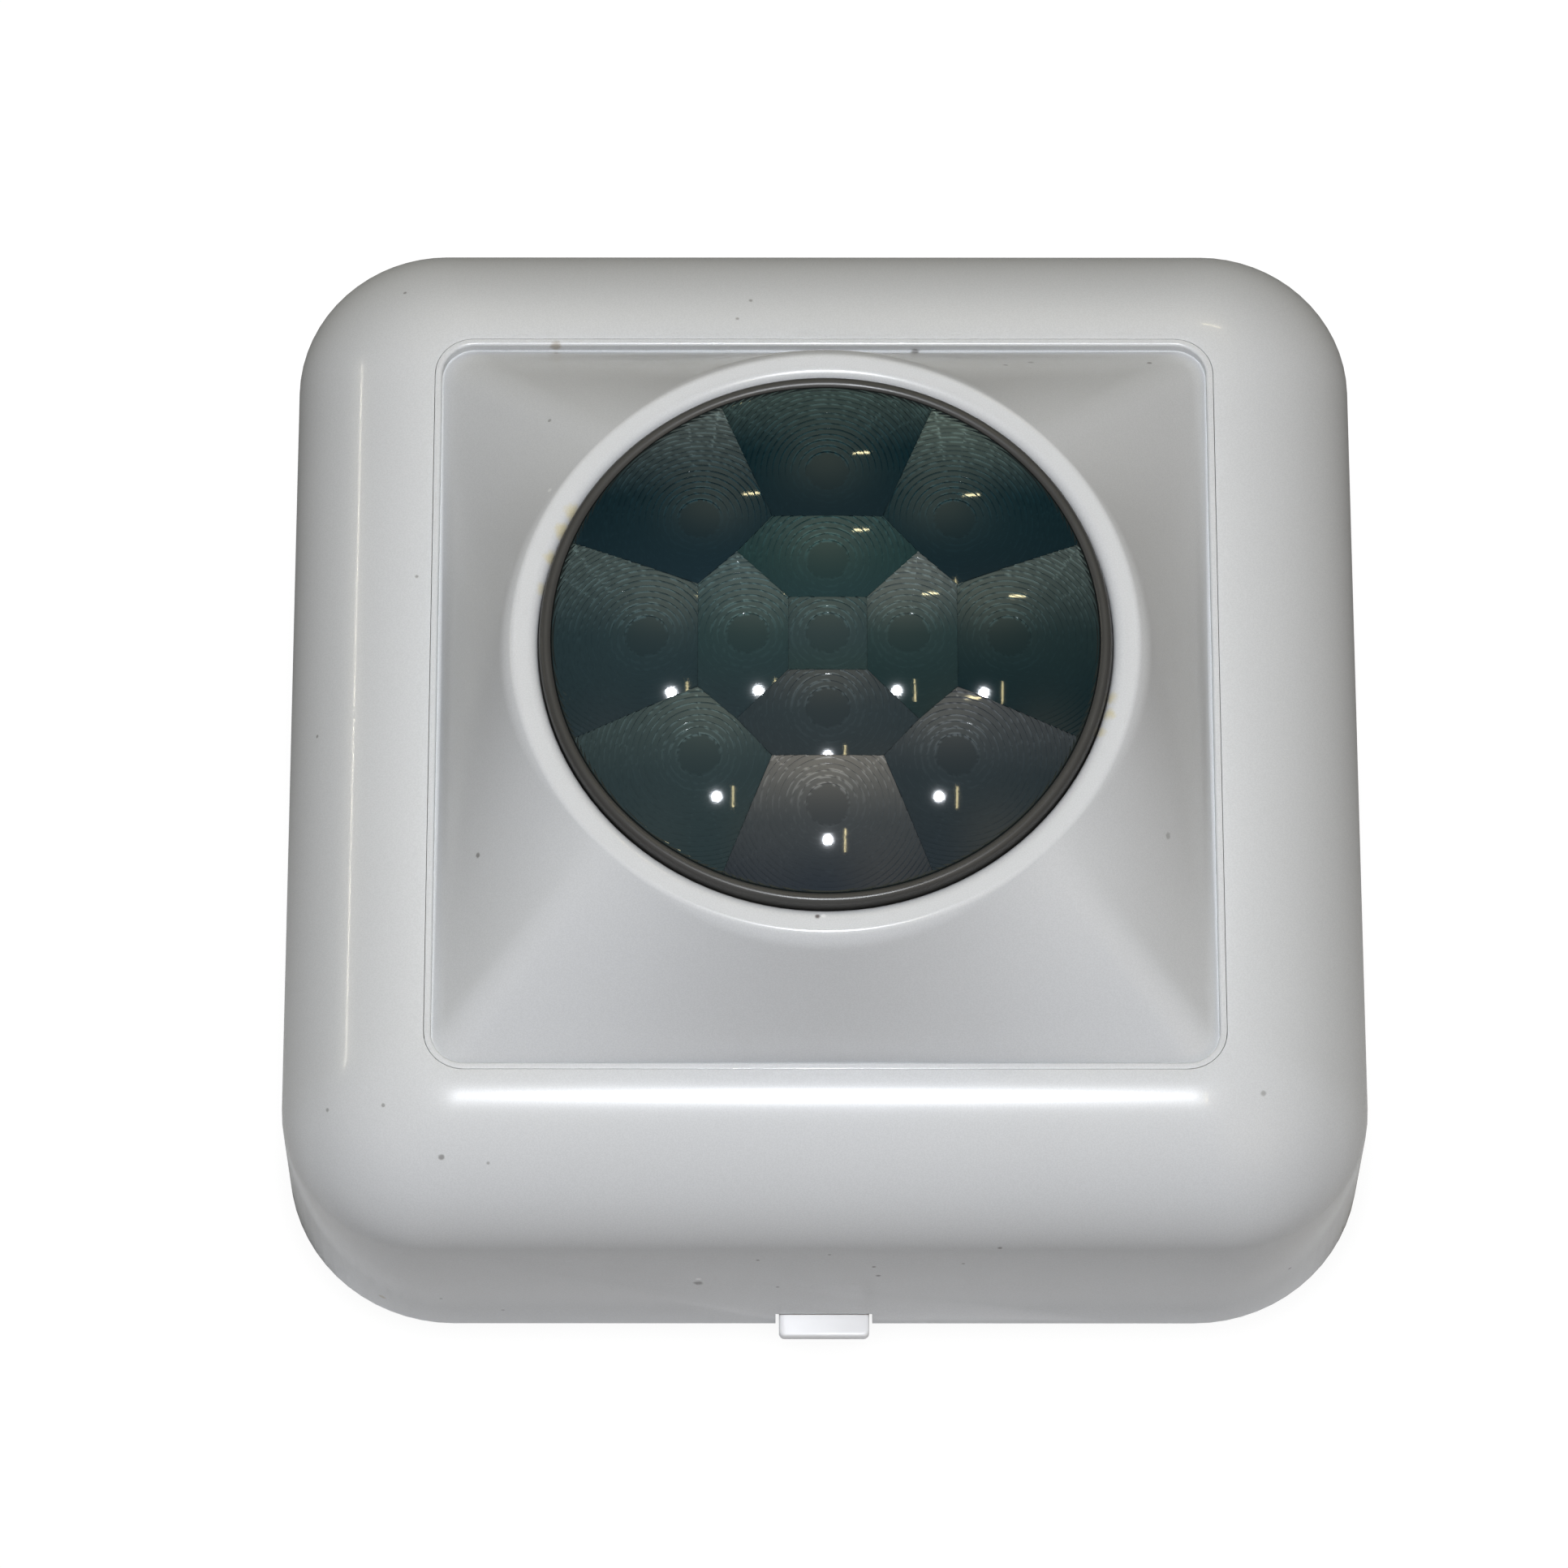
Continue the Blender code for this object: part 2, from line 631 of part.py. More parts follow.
def ic_pins(name, rows, z0, z1):
    """A bar at each leg of each row; rows are (y0, y1) pairs."""
    return blocks(
        name, [((x - 0.2, y0, z0), (x + 0.2, y1, z1)) for x in IC_LEGS_X for y0, y1 in rows]
    )


ic = box("signal_ic", (-14.5, -28.5, STAND_Z + 0.3), (-6.0, -24.6, STAND_Z + 1.9), BLACK)
leg_rows = ((-29.2, -28.2), (-24.9, -23.9))
join(ic, ic_pins("ic_legs", leg_rows, STAND_Z + 0.75, STAND_Z + 1.0))
foot_rows = ((-29.5, -29.1), (-24.0, -23.6))
join(ic, ic_pins("ic_feet", foot_rows, STAND_Z, STAND_Z + 1.0))


def capacitor(name, spot, radius, height):
    """A can with a chamfered top and a groove near its foot."""
    profile = [
        (0.0, STAND_Z + height),
        (radius - 0.4, STAND_Z + height),
        (radius, STAND_Z + height - 0.4),
        (radius, STAND_Z + 1.9),
        (radius - 0.3, STAND_Z + 1.5),
        (radius, STAND_Z + 1.1),
        (radius, STAND_Z),
        (0.0, STAND_Z),
    ]
    turned(name, profile, SLEEVE, spot, steps=20)


capacitor("capacitor_1", (17.5, 18.0), radius=3.15, height=11.0)
capacitor("capacitor_2", (-26.0, 16.5), radius=4.0, height=12.0)

# voltage regulator: a round body with a flat on its +Y side, on three legs
REGULATOR = (8.0, 16.0)
regulator = rod(
    "voltage_regulator", REGULATOR, 2.3, STAND_Z + 2.0, STAND_Z + 6.6, BLACK, sides=20
)
cut(regulator, box("regulator_flat", (5.0, 17.3, STAND_Z + 1.0), (11.0, 20.0, STAND_Z + 8.0)))
legs = [
    ((x - 0.22, 15.6, STAND_Z), (x + 0.22, 16.0, STAND_Z + 2.6))
    for x in (REGULATOR[0] + offset for offset in (-1.27, 0.0, 1.27))
]
join(regulator, blocks("regulator_legs", legs))

# ---------------------------------------------------------------- tamper switch

switch = box(
    "tamper_switch_body", *around(TAMPER, 3.6, 3.6, STAND_Z, TAMPER_TOP), BLACK, bevel=0.4
)
cut(switch, rod("plunger_bore", TAMPER, 1.75, 15.0, 20.0, sides=16))
PLUNGER_PROFILE = [    # radius, height
    (0.0, 28.8), (2.4, 28.8), (3.1, 28.3), (3.1, 27.2), (1.45, 27.1), (1.45, 15.5), (0.0, 15.5),
]
turned("tamper_plunger", PLUNGER_PROFILE, WHITE, TAMPER, steps=18)

TURNS, PER_TURN = 5, 11            # coils and points in each
WIRE_R, COIL_R = 0.25, 2.1
SPRING_Z0, SPRING_Z1 = 19.35, 26.75
curve = bpy.data.curves.new("tamper_spring", "CURVE")
curve.dimensions = "3D"
curve.bevel_depth = WIRE_R * MM
curve.bevel_resolution = 0
curve.use_fill_caps = True
line = curve.splines.new("POLY")
line.points.add(TURNS * PER_TURN)
for i, point in enumerate(line.points):
    angle = 2 * math.pi * i / PER_TURN
    z = SPRING_Z0 + (SPRING_Z1 - SPRING_Z0) * i / (TURNS * PER_TURN)
    point.co = (COIL_R * math.cos(angle) * MM, COIL_R * math.sin(angle) * MM, z * MM, 1.0)
spring = new_object("tamper_spring", curve, STEEL)
spring.location = Vector((*TAMPER, 0.0)) * MM

# ---------------------------------------------------------------- trimmers

ROTOR_PROFILE = [(0.0, 19.3), (2.1, 19.3), (2.4, 19.0), (2.4, 17.4), (0.0, 17.4)]


def trimmer(name, spot):
    """A square body with a slotted rotor let into its top."""
    body = box(f"{name}_body", *around(spot, 3.4, 3.4, STAND_Z, 18.6), BLUE, bevel=0.3)
    cut(body, rod(f"{name}_well", spot, 2.55, 17.3, 20.0))
    rotor = turned(f"{name}_rotor", ROTOR_PROFILE, WHITE, spot, steps=24)
    cut(rotor, box(f"{name}_slot", *around(spot, 1.9, 0.35, 18.4, 20.0)))


trimmer("sensitivity_trimmer", (25.0, -6.0))
trimmer("timer_trimmer", (25.0, 5.0))

# ---------------------------------------------------------------- three-way slide switch

DIP = (20.0, -26.0)
DIP_PITCH = 2.54
dip_x, dip_y = DIP
ways = [dip_x + DIP_PITCH * (i - 1) for i in range(3)]
dip = box("dip_switch_body", *around(DIP, 4.4, 3.4, STAND_Z, 17.2), RED, bevel=0.25)
channels = [around((x, dip_y), 0.75, 1.9, 15.4, 18.5) for x in ways]
cut(dip, blocks("dip_channels", channels))
for i, x in enumerate(ways):
    low, high = (x - 0.6, dip_y - 1.7, 15.55), (x + 0.6, dip_y - 0.1, 17.9)
    box(f"dip_slider_{i + 1}", low, high, WHITE, bevel=0.15, segments=1)

# ---------------------------------------------------------------- terminal block

# six ways, screws on top, wires enter from the +Y side
WAY_PITCH, WAY_COUNT = 5.08, 6
TERMINAL_X0 = -WAY_PITCH * WAY_COUNT / 2
TERMINAL_TOP = 23.6
terminal = box(
    "terminal_block", (TERMINAL_X0, 20.6, STAND_Z), (-TERMINAL_X0, 29.6, TERMINAL_TOP), GREEN
)
# a bar turned by 45 degrees slopes off the top edge on the +Y side
slope = box("terminal_slope", *around(CENTRE, 20.0, 2.0, -2.0, 2.0))
slope.location = Vector((0.0, 30.9, TERMINAL_TOP + 0.9)) * MM
slope.rotation_euler = (math.radians(45), 0.0, 0.0)
cut(terminal, slope)
screw_spots = [(TERMINAL_X0 + WAY_PITCH * (i + 0.5), 24.6) for i in range(WAY_COUNT)]
cut(terminal, pegs("terminal_wells", screw_spots, 1.98, 19.6, TERMINAL_TOP + 1.0, sides=12))
entries = [((x - 1.7, 26.9, 15.6), (x + 1.7, 31.0, 19.0)) for x, _ in screw_spots]
cut(terminal, blocks("wire_entries", entries))
for i, spot in enumerate(screw_spots):
    screw = rod(f"terminal_screw_{i + 1}", spot, 1.7, 19.8, 22.4, STEEL, sides=12)
    cut(screw, box(f"terminal_slot_{i + 1}", *around(spot, 1.4, 0.3, 21.5, 23.0)))

# ---------------------------------------------------------------- joint axes


def joint_axis(name, spot, pieces):
    """An empty at spot that carries pieces without moving them."""
    axis = new_object(name, None)
    axis.empty_display_size = 0.005
    axis.location = Vector(spot) * MM
    bpy.context.view_layer.update()
    for piece_name in pieces:
        piece = bpy.data.objects[piece_name]
        piece.parent = axis
        piece.matrix_parent_inverse = axis.matrix_world.inverted()


cover_pieces = [
    "front_cover", "lens_bezel", "fresnel_lens", "lens_rim_ring", "lens_retaining_ring",
    *(f"bezel_screw_{i + 1}" for i in range(len(EARS))),
]
joint_axis("cover_hinge_axis", (0.0, COVER_HALF, 0.0), cover_pieces)
joint_axis("latch_slide_axis", (0.0, LATCH_TIP, FLOOR + 1.0), ["release_latch"])
joint_axis("tamper_slide_axis", (*TAMPER, TAMPER_TOP), ["tamper_plunger"])
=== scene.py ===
"""Looks for a ceiling motion sensor: fine meshes over the CAD frame, materials, light and camera.

Frame: +Z points from the mounting surface towards the lens, -Y is the side with the release
latch, and the origin is on the housing's axis. Lengths are in millimetres until a mesh, light
or shader value is made, then in metres.
"""

import math

import bmesh
import bpy
from mathutils import Matrix, Vector


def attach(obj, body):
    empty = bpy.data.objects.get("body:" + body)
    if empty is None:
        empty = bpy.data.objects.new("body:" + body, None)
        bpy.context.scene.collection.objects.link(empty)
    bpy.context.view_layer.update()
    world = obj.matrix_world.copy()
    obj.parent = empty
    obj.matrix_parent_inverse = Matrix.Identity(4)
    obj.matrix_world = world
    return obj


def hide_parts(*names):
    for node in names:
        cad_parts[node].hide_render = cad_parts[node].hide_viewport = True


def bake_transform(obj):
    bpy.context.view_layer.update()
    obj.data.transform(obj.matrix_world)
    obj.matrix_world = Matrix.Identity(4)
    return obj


MM = 0.001

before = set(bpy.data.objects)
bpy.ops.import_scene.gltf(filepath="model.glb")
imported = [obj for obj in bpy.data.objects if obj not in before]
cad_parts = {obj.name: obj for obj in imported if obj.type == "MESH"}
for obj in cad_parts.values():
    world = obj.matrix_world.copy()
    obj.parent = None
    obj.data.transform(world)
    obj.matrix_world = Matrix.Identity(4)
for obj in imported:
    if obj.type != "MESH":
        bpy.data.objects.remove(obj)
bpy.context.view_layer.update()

scene = bpy.context.scene
looks = bpy.data.collections.new("looks")
scene.collection.children.link(looks)

# ---------------------------------------------------------------- main sizes

# front cover: a rounded square with a pillowed edge between its wall and its flat frame
COVER_HALF, COVER_CORNER, TOP_CORNER = 55.0, 17.2, 15.0
COVER_Z, WALL_TOP, DRAFT, COVER_WALL = 0.3, 22.0, 0.4, 2.2
PILLOW_POWER = 1.75  # exponent of the superellipse across the pillowed edge
FRAME_Z, FRAME_HALF, FRAME_CORNER = 35.1, 40.45, 4.6
OPENING_HALF, OPENING_CORNER = 39.92, 4.05
EARS = [(0.0, 46.0), (-46.0, 0.0), (0.0, -46.0), (46.0, 0.0)]

# lens insert: a square lip, a step down, a sweep up to a round land, and a throat for the lens
INSERT_HALF, INSERT_CORNER, INSERT_WALL = 39.88, 3.96, 2.0
LIP, STEP_DOWN = 0.68, 1.3
EAR_Z = 21.6
SKIRT_Z = EAR_Z + 2.0
FOOT_R = 0.5  # hollow at the bottom of the sweep
EDGE_ROLL, WIDE_ROLL, KNEE = 0.9, 4.5, math.radians(42)  # roundings at its top, and where they meet
LAND_Z, LAND_R, LAND_IN = 50.0, 30.8, 29.9
THROAT_R, THROAT_Z = 28.6, 49.0
SEAT_R, SEAT_Z, SEAT_END = 29.95, 48.1, 43.7

LENS_R, LENS_EDGE_Z, LENS_TOP_Z = 27.25, 50.7, 52.7
TAMPER_X, TAMPER_Y = -24.0, -26.0
BOARD_Z = 13.9  # upper face of the board

# ---------------------------------------------------------------- shader helpers


class Nodes:
    """Makes the nodes of one tree; an input takes either a value or another node's output."""

    def __init__(self, tree):
        self.tree = tree

    def feed(self, socket, value):
        if isinstance(value, bpy.types.NodeSocket):
            self.tree.links.new(value, socket)
        elif socket.type == "RGBA":
            socket.default_value = (*value, 1.0)
        else:
            socket.default_value = value

    def node(self, kind, inputs=None, **settings):
        made = self.tree.nodes.new(kind)
        for key, value in settings.items():
            setattr(made, key, value)
        for key, value in (inputs or {}).items():
            self.feed(made.inputs[key], value)
        return made

    def math(self, operation, *values):
        made = self.node("ShaderNodeMath", dict(enumerate(values)), operation=operation)
        return made.outputs[0]

    def vector(self, operation, inputs):
        return self.node("ShaderNodeVectorMath", inputs, operation=operation)

    def ramp(self, source, low, high, to_low=0.0, to_high=1.0, kind="SMOOTHSTEP"):
        inputs = {
            "Value": source,
            "From Min": low,
            "From Max": high,
            "To Min": to_low,
            "To Max": to_high,
        }
        return self.node("ShaderNodeMapRange", inputs, interpolation_type=kind).outputs[0]


class Shader(Nodes):
    """A Principled material put together from procedural layers in object coordinates."""

    def __init__(self, name, colour=None, rough=None, metal=0.0, ior=1.5):
        self.mat = bpy.data.materials.new(name)
        self.mat.use_nodes = True
        super().__init__(self.mat.node_tree)
        self.bsdf = self.tree.nodes["Principled BSDF"]
        self.bsdf.inputs["Metallic"].default_value = metal
        self.bsdf.inputs["IOR"].default_value = ior
        self.coord = self.node("ShaderNodeTexCoord").outputs["Object"]
        self.normal = None
        if colour is not None:
            self.colour = self.node("ShaderNodeRGB").outputs[0]
            self.colour.default_value = (*colour, 1.0)
        if rough is not None:
            self.rough = self.node("ShaderNodeValue").outputs[0]
            self.rough.default_value = rough

    def noise(self, scale, detail):
        inputs = {"Scale": scale, "Detail": detail, "Vector": self.coord}
        return self.node("ShaderNodeTexNoise", inputs).outputs[0]

    def mix(self, share, first, second, blend="MIX"):
        inputs = {0: share, 6: first, 7: second}
        made = self.node("ShaderNodeMix", data_type="RGBA", blend_type=blend)
        for key, value in inputs.items():
            self.feed(made.inputs[key], value)
        return made.outputs[2]

    def mottle(self, scale, low, high, detail=3.0):
        """Change of tone between two multipliers."""
        share = self.ramp(self.noise(scale, detail), 0.35, 0.65)
        tone = self.mix(share, (low,) * 3, (high,) * 3)
        self.colour = self.mix(1.0, self.colour, tone, "MULTIPLY")
        return self

    def uneven(self, scale, low, high):
        """Roughness between two values."""
        self.rough = self.ramp(self.noise(scale, detail=4.0), 0.3, 0.7, low, high)
        return self

    def grain(self, scale, strength, distance=0.02):
        """Fine bumps; distance is their height in millimetres."""
        height = self.noise(scale, detail=2.0)
        inputs = {"Strength": strength, "Distance": distance * MM, "Height": height}
        self.normal = self.node("ShaderNodeBump", inputs).outputs[0]
        return self

    def marks(self, places, softness):
        """Small spots with wobbly edges: (x, y, z, radius, colour, strength)."""
        for x, y, z, radius, colour, strength in places:
            size = radius * MM
            ends = {0: self.coord, 1: (x * MM, y * MM, z * MM)}
            away = self.vector("DISTANCE", ends).outputs["Value"]
            noise = self.noise(1500.0, detail=2.0)
            wobble = self.math("MULTIPLY_ADD", noise, size * 1.2, -size * 0.6)
            reach = self.math("ADD", away, wobble)
            inside, outside = size * (1 - softness), size * (1 + softness)
            share = self.ramp(reach, inside, outside, strength, 0.0)
            self.colour = self.mix(share, self.colour, colour)
        return self

    def done(self):
        self.feed(self.bsdf.inputs["Base Color"], self.colour)
        self.feed(self.bsdf.inputs["Roughness"], self.rough)
        if self.normal is not None:
            self.feed(self.bsdf.inputs["Normal"], self.normal)
        return self.mat


def plastic_shader(name, colour, rough, spread=0.04, mottle=0.02, grain=0.1, grain_scale=3000.0):
    """spread is the range of roughness either way, mottle that of tone, grain the bumps' strength."""
    look = Shader(name, colour)
    look.mottle(45.0, 1.0 - mottle, 1.0 + mottle)
    look.uneven(120.0, rough - spread, rough + spread)
    if grain:
        look.grain(grain_scale, grain)
    return look


def plastic(name, **settings):
    return plastic_shader(name, **settings).done()


def metal(name, colour, rough):
    look = Shader(name, colour, metal=1.0)
    look.mottle(scale=300.0, low=0.93, high=1.05)
    look.uneven(700.0, rough - 0.06, rough + 0.06)
    look.grain(scale=2500.0, strength=0.12, distance=0.01)
    return look.done()


# ---------------------------------------------------------------- mesh helpers


def smooth_shade(mesh, angle):
    """Smooth shading, with edges sharper than angle (in degrees) kept crisp."""
    mesh.shade_smooth()
    mesh.set_sharp_from_angle(angle=math.radians(angle))


class Build:
    """Gathers lofts, blocks and turned shapes, in millimetres, into one mesh."""

    def __init__(self):
        self.verts, self.faces, self.slots = [], [], []

    def add(self, verts, faces, slot):
        base = len(self.verts)
        self.verts += [tuple(vert) for vert in verts]
        self.faces += [tuple(base + i for i in face) for face in faces]
        self.slots += [slot] * len(faces)

    def loft(self, rings, closed=True, slot=0, cap=True):
        """Skins sections of equal count; rising counter-clockwise ones give outward faces."""
        size, count = len(rings[0]), len(rings)
        verts = [point for ring in rings for point in ring]
        faces = []
        for i in range(count if closed else count - 1):
            low, high = i * size, ((i + 1) % count) * size
            for j in range(size):
                k = (j + 1) % size
                faces.append((low + j, low + k, high + k, high + j))
        if not closed and cap:
            faces.append(tuple(reversed(range(size))))
            faces.append(tuple((count - 1) * size + j for j in range(size)))
        self.add(verts, faces, slot)

    def turn(self, profile, steps, x=0.0, y=0.0, slot=0, closed=False):
        """A profile of (radius, height) turned round Z at (x, y)."""
        angles = [2 * math.pi * i / steps for i in range(steps)]
        rings = [
            [(x + radius * math.cos(a), y + radius * math.sin(a), z) for a in angles]
            for radius, z in profile
        ]
        self.loft(rings, closed=closed, slot=slot, cap=False)

    def block(self, low, high, slot=0, edge=0.0):
        """A block between two corners; edge chamfers its four top edges."""
        (x0, y0, z0), (x1, y1, z1) = low, high
        levels = [(0.0, z0), (0.0, z1 - edge), (edge, z1)] if edge else [(0.0, z0), (0.0, z1)]
        rings = [
            [(x0 + i, y0 + i, z), (x1 - i, y0 + i, z), (x1 - i, y1 - i, z), (x0 + i, y1 - i, z)]
            for i, z in levels
        ]
        self.loft(rings, closed=False, slot=slot)

    def make(self, name, mats, smooth=35.0):
        mesh = bpy.data.meshes.new(name)
        mesh.from_pydata([(x * MM, y * MM, z * MM) for x, y, z in self.verts], [], self.faces)
        for mat in mats:
            mesh.materials.append(mat)
        if len(mats) > 1:
            mesh.polygons.foreach_set("material_index", self.slots)
        mesh.validate()
        obj = bpy.data.objects.new(name, mesh)
        looks.objects.link(obj)
        if smooth:
            smooth_shade(mesh, smooth)
        return obj


def cut_block(obj, low, high):
    """Cuts a block out of a mesh and keeps the result."""
    bm = bmesh.new()
    for vert in bmesh.ops.create_cube(bm, size=1.0)["verts"]:
        vert.co = Vector(
            [(vert.co[i] * (high[i] - low[i]) + (low[i] + high[i]) / 2) * MM for i in range(3)]
        )
    mesh = bpy.data.meshes.new("cutter")
    bm.to_mesh(mesh)
    bm.free()
    cutter = bpy.data.objects.new("cutter", mesh)
    looks.objects.link(cutter)
    cut = obj.modifiers.new("cut", "BOOLEAN")
    cut.operation = "DIFFERENCE"
    cut.object = cutter
    cut.solver = "EXACT"
    depsgraph = bpy.context.evaluated_depsgraph_get()
    shape = bpy.data.meshes.new_from_object(obj.evaluated_get(depsgraph))
    obj.modifiers.clear()
    shape.name = obj.data.name
    obj.data = shape
    bpy.data.objects.remove(cutter)


# ---------------------------------------------------------------- housing materials

HOUSING_COLOUR = (0.625, 0.633, 0.64)
SPECK = (0.16, 0.15, 0.14)
DARK = (0.12, 0.10, 0.10)
PALE = (0.85, 0.85, 0.85)
GLUE = (0.62, 0.56, 0.36)

# dirt, nicks and rubbed spots: x, y, z, radius, colour, strength
COVER_MARKS = [
    (-43.3, 46.4, 32.4, 0.17, SPECK, 0.55), (4.95, -54.68, 17.6, 0.20, SPECK, 0.7),
    (5.39, -54.73, 15.0, 0.25, SPECK, 0.75), (-12.7, -54.8, 12.8, 0.42, SPECK, 0.7),
    (-12.7, -54.75, 14.0, 0.28, PALE, 0.8), (-38.0, -48.2, 32.25, 0.26, SPECK, 0.6),
    (-7.55, 44.7, 34.1, 0.18, SPECK, 0.5), (-51.5, -1.9, 29.2, 0.18, SPECK, 0.6),
    (47.2, -52.4, 10.3, 0.20, SPECK, 0.6), (-49.5, -42.6, 30.5, 0.18, SPECK, 0.5),
    (-6.7, -54.65, 19.6, 0.18, SPECK, 0.6), (43.4, -42.05, 34.0, 0.26, SPECK, 0.4),
    (-45.05, -53.4, 4.3, 0.35, (0.42, 0.38, 0.26), 0.6), (-4.75, -54.8, 11.6, 0.18, SPECK, 0.5),
    (0.45, -54.6, 21.2, 0.18, SPECK, 0.5), (17.45, -54.5, 23.0, 0.22, SPECK, 0.6),
    (-8.9, 42.3, 34.9, 0.16, SPECK, 0.5), (-38.9, -54.8, 8.0, 0.18, SPECK, 0.5),
    (-41.4, 13.3, 35.0, 0.16, SPECK, 0.5), (13.9, -54.7, 18.6, 0.18, SPECK, 0.5),
    (-43.8, -43.2, 33.5, 0.18, SPECK, 0.5), (-32.7, -54.9, 4.6, 0.20, SPECK, 0.5),
    (-33.4, -48.7, 31.9, 0.16, SPECK, 0.45),
]
INSERT_MARKS = [
    (-34.63, -19.09, 39.93, 0.28, SPECK, 0.65), (-0.86, -29.44, 49.94, 0.26, DARK, 0.85),
    (-0.25, -29.34, 49.9, 0.22, (0.80, 0.80, 0.80), 0.8), (33.32, 36.69, 36.23, 0.24, SPECK, 0.6),
    (18.47, 34.71, 40.06, 0.26, SPECK, 0.6), (9.4, 38.95, 33.82, 0.40, SPECK, 0.6),
    (21.11, 35.96, 37.97, 0.30, SPECK, 0.4), (-27.82, 26.2, 44.88, 0.18, SPECK, 0.5),
    (34.14, -17.41, 41.01, 0.32, SPECK, 0.35),
    (-27.69, 16.74, 48.96, 0.26, (0.85, 0.85, 0.84), 0.6),
    (-27.56, 39.2, 34.6, 0.55, (0.30, 0.24, 0.17), 0.55),
]
# a trace of old glue round the lens seat, in the same columns
GLUE_MARKS = [
    (-25.3, 13.9, 49.5, 0.75, GLUE, 0.75), (-26.3, 11.9, 49.5, 0.75, GLUE, 0.75),
    (-27.3, 8.9, 49.5, 0.70, GLUE, 0.7), (-28.2, 5.6, 49.5, 0.55, GLUE, 0.5),
    (28.4, -6.2, 49.5, 0.55, GLUE, 0.6), (28.1, -8.0, 49.5, 0.60, GLUE, 0.65),
    (27.3, -9.9, 49.4, 0.55, GLUE, 0.55),
]


def housing_plastic(name, rough, marks, glue=()):
    """Nearly even satin plastic with marks on it and a thin clear coat."""
    look = plastic_shader(name, HOUSING_COLOUR, rough, spread=0.01, mottle=0.004, grain=0.03)
    look.marks(marks, softness=0.5)
    look.marks(glue, softness=0.6)
    look.mottle(scale=7000.0, low=0.975, high=1.025, detail=1.0)
    look.bsdf.inputs["Specular IOR Level"].default_value = 0.26
    look.bsdf.inputs["Coat Weight"].default_value = 0.16
    look.bsdf.inputs["Coat Roughness"].default_value = 0.07
    return look.done()


cover_mat = housing_plastic("housing_abs", rough=0.26, marks=COVER_MARKS)
insert_mat = housing_plastic("insert_abs", rough=0.25, marks=INSERT_MARKS, glue=GLUE_MARKS)

# ---------------------------------------------------------------- other materials

latch_mat = plastic("latch_abs", colour=(0.74, 0.74, 0.745), rough=0.36, grain=0.05)
rim_mat = plastic("rim_plastic", colour=(0.075, 0.074, 0.07), rough=0.34, mottle=0.06, grain=0.12)
base_mat = plastic(
    "base_abs", colour=(0.74, 0.745, 0.74), rough=0.42, grain=0.25, grain_scale=1800.0
)
rubber_mat = plastic(
    "grommet_rubber",
    colour=(0.028, 0.028, 0.03), rough=0.62, mottle=0.1, grain=0.4, grain_scale=2200.0,
)
black_mat = plastic(
    "component_black",
    colour=(0.022, 0.022, 0.024), rough=0.45, mottle=0.08, grain=0.3, grain_scale=4500.0,
)
blue_mat = plastic("trimmer_blue", colour=(0.02, 0.10, 0.40), rough=0.36, mottle=0.04, grain=0.12)
red_mat = plastic("switch_red", colour=(0.42, 0.025, 0.025), rough=0.38, mottle=0.04, grain=0.12)
white_mat = plastic("actuator_white", colour=(0.78, 0.78, 0.76), rough=0.38)
relay_mat = plastic("relay_white", colour=(0.70, 0.70, 0.67), rough=0.34, grain=0.15)
green_mat = plastic(
    "terminal_green", colour=(0.02, 0.22, 0.085), rough=0.36, mottle=0.04, grain=0.12
)
sleeve_mat = plastic("capacitor_sleeve", colour=(0.018, 0.022, 0.05), rough=0.28, grain=0.0)
steel_mat = metal("screw_steel", colour=(0.60, 0.60, 0.61), rough=0.30)
spring_mat = metal("spring_steel", colour=(0.55, 0.55, 0.56), rough=0.24)
can_mat = metal("can_nickel", colour=(0.66, 0.65, 0.62), rough=0.20)
tin_mat = metal("solder_tin", colour=(0.62, 0.63, 0.64), rough=0.26)
metal("pad_gold", colour=(0.72, 0.52, 0.24), rough=0.30)


def filter_material():
    look = Shader("filter_window", colour=(0.035, 0.03, 0.045), rough=0.08, ior=2.2)
    return look.mottle(scale=500.0, low=0.8, high=1.2).done()


def solder_mask_material():
    look = Shader("solder_mask", colour=(0.012, 0.105, 0.042))
    look.mottle(scale=160.0, low=0.86, high=1.08)
    look.uneven(scale=300.0, low=0.26, high=0.36)
    return look.grain(scale=1400.0, strength=0.15).done()


def masked_copper_material():
    look = Shader("masked_copper", colour=(0.03, 0.17, 0.06), rough=0.28)
    look.mottle(scale=400.0, low=0.9, high=1.08)
    return look.grain(scale=1400.0, strength=0.15).done()


def led_material():
    look = Shader("led_epoxy", colour=(0.50, 0.015, 0.012), rough=0.08, ior=1.55)
    look.mottle(scale=600.0, low=0.92, high=1.05)
    look.bsdf.inputs["Transmission Weight"].default_value = 0.35
    return look.done()


def lens_material():
    """Takes its colour, with its painted reflections, highlights and shade, from an attribute of the
    lens mesh.
    """
    look = Shader("lens_plastic")
    look.colour = look.node("ShaderNodeVertexColor", layer_name="colour_and_painted_light").outputs["Color"]
    return look.uneven(scale=40.0, low=0.055, high=0.07).done()


filter_mat = filter_material()
mask_mat = solder_mask_material()
trace_mat = masked_copper_material()
led_mat = led_material()
lens_mat = lens_material()
silk_mat = plastic("board_legend", colour=(0.66, 0.67, 0.64), rough=0.5, grain=0.2)
chip_mat = plastic(
    "chip_capacitor", colour=(0.34, 0.24, 0.14), rough=0.4, mottle=0.08, grain=0.2
)

# ---------------------------------------------------------------- front cover


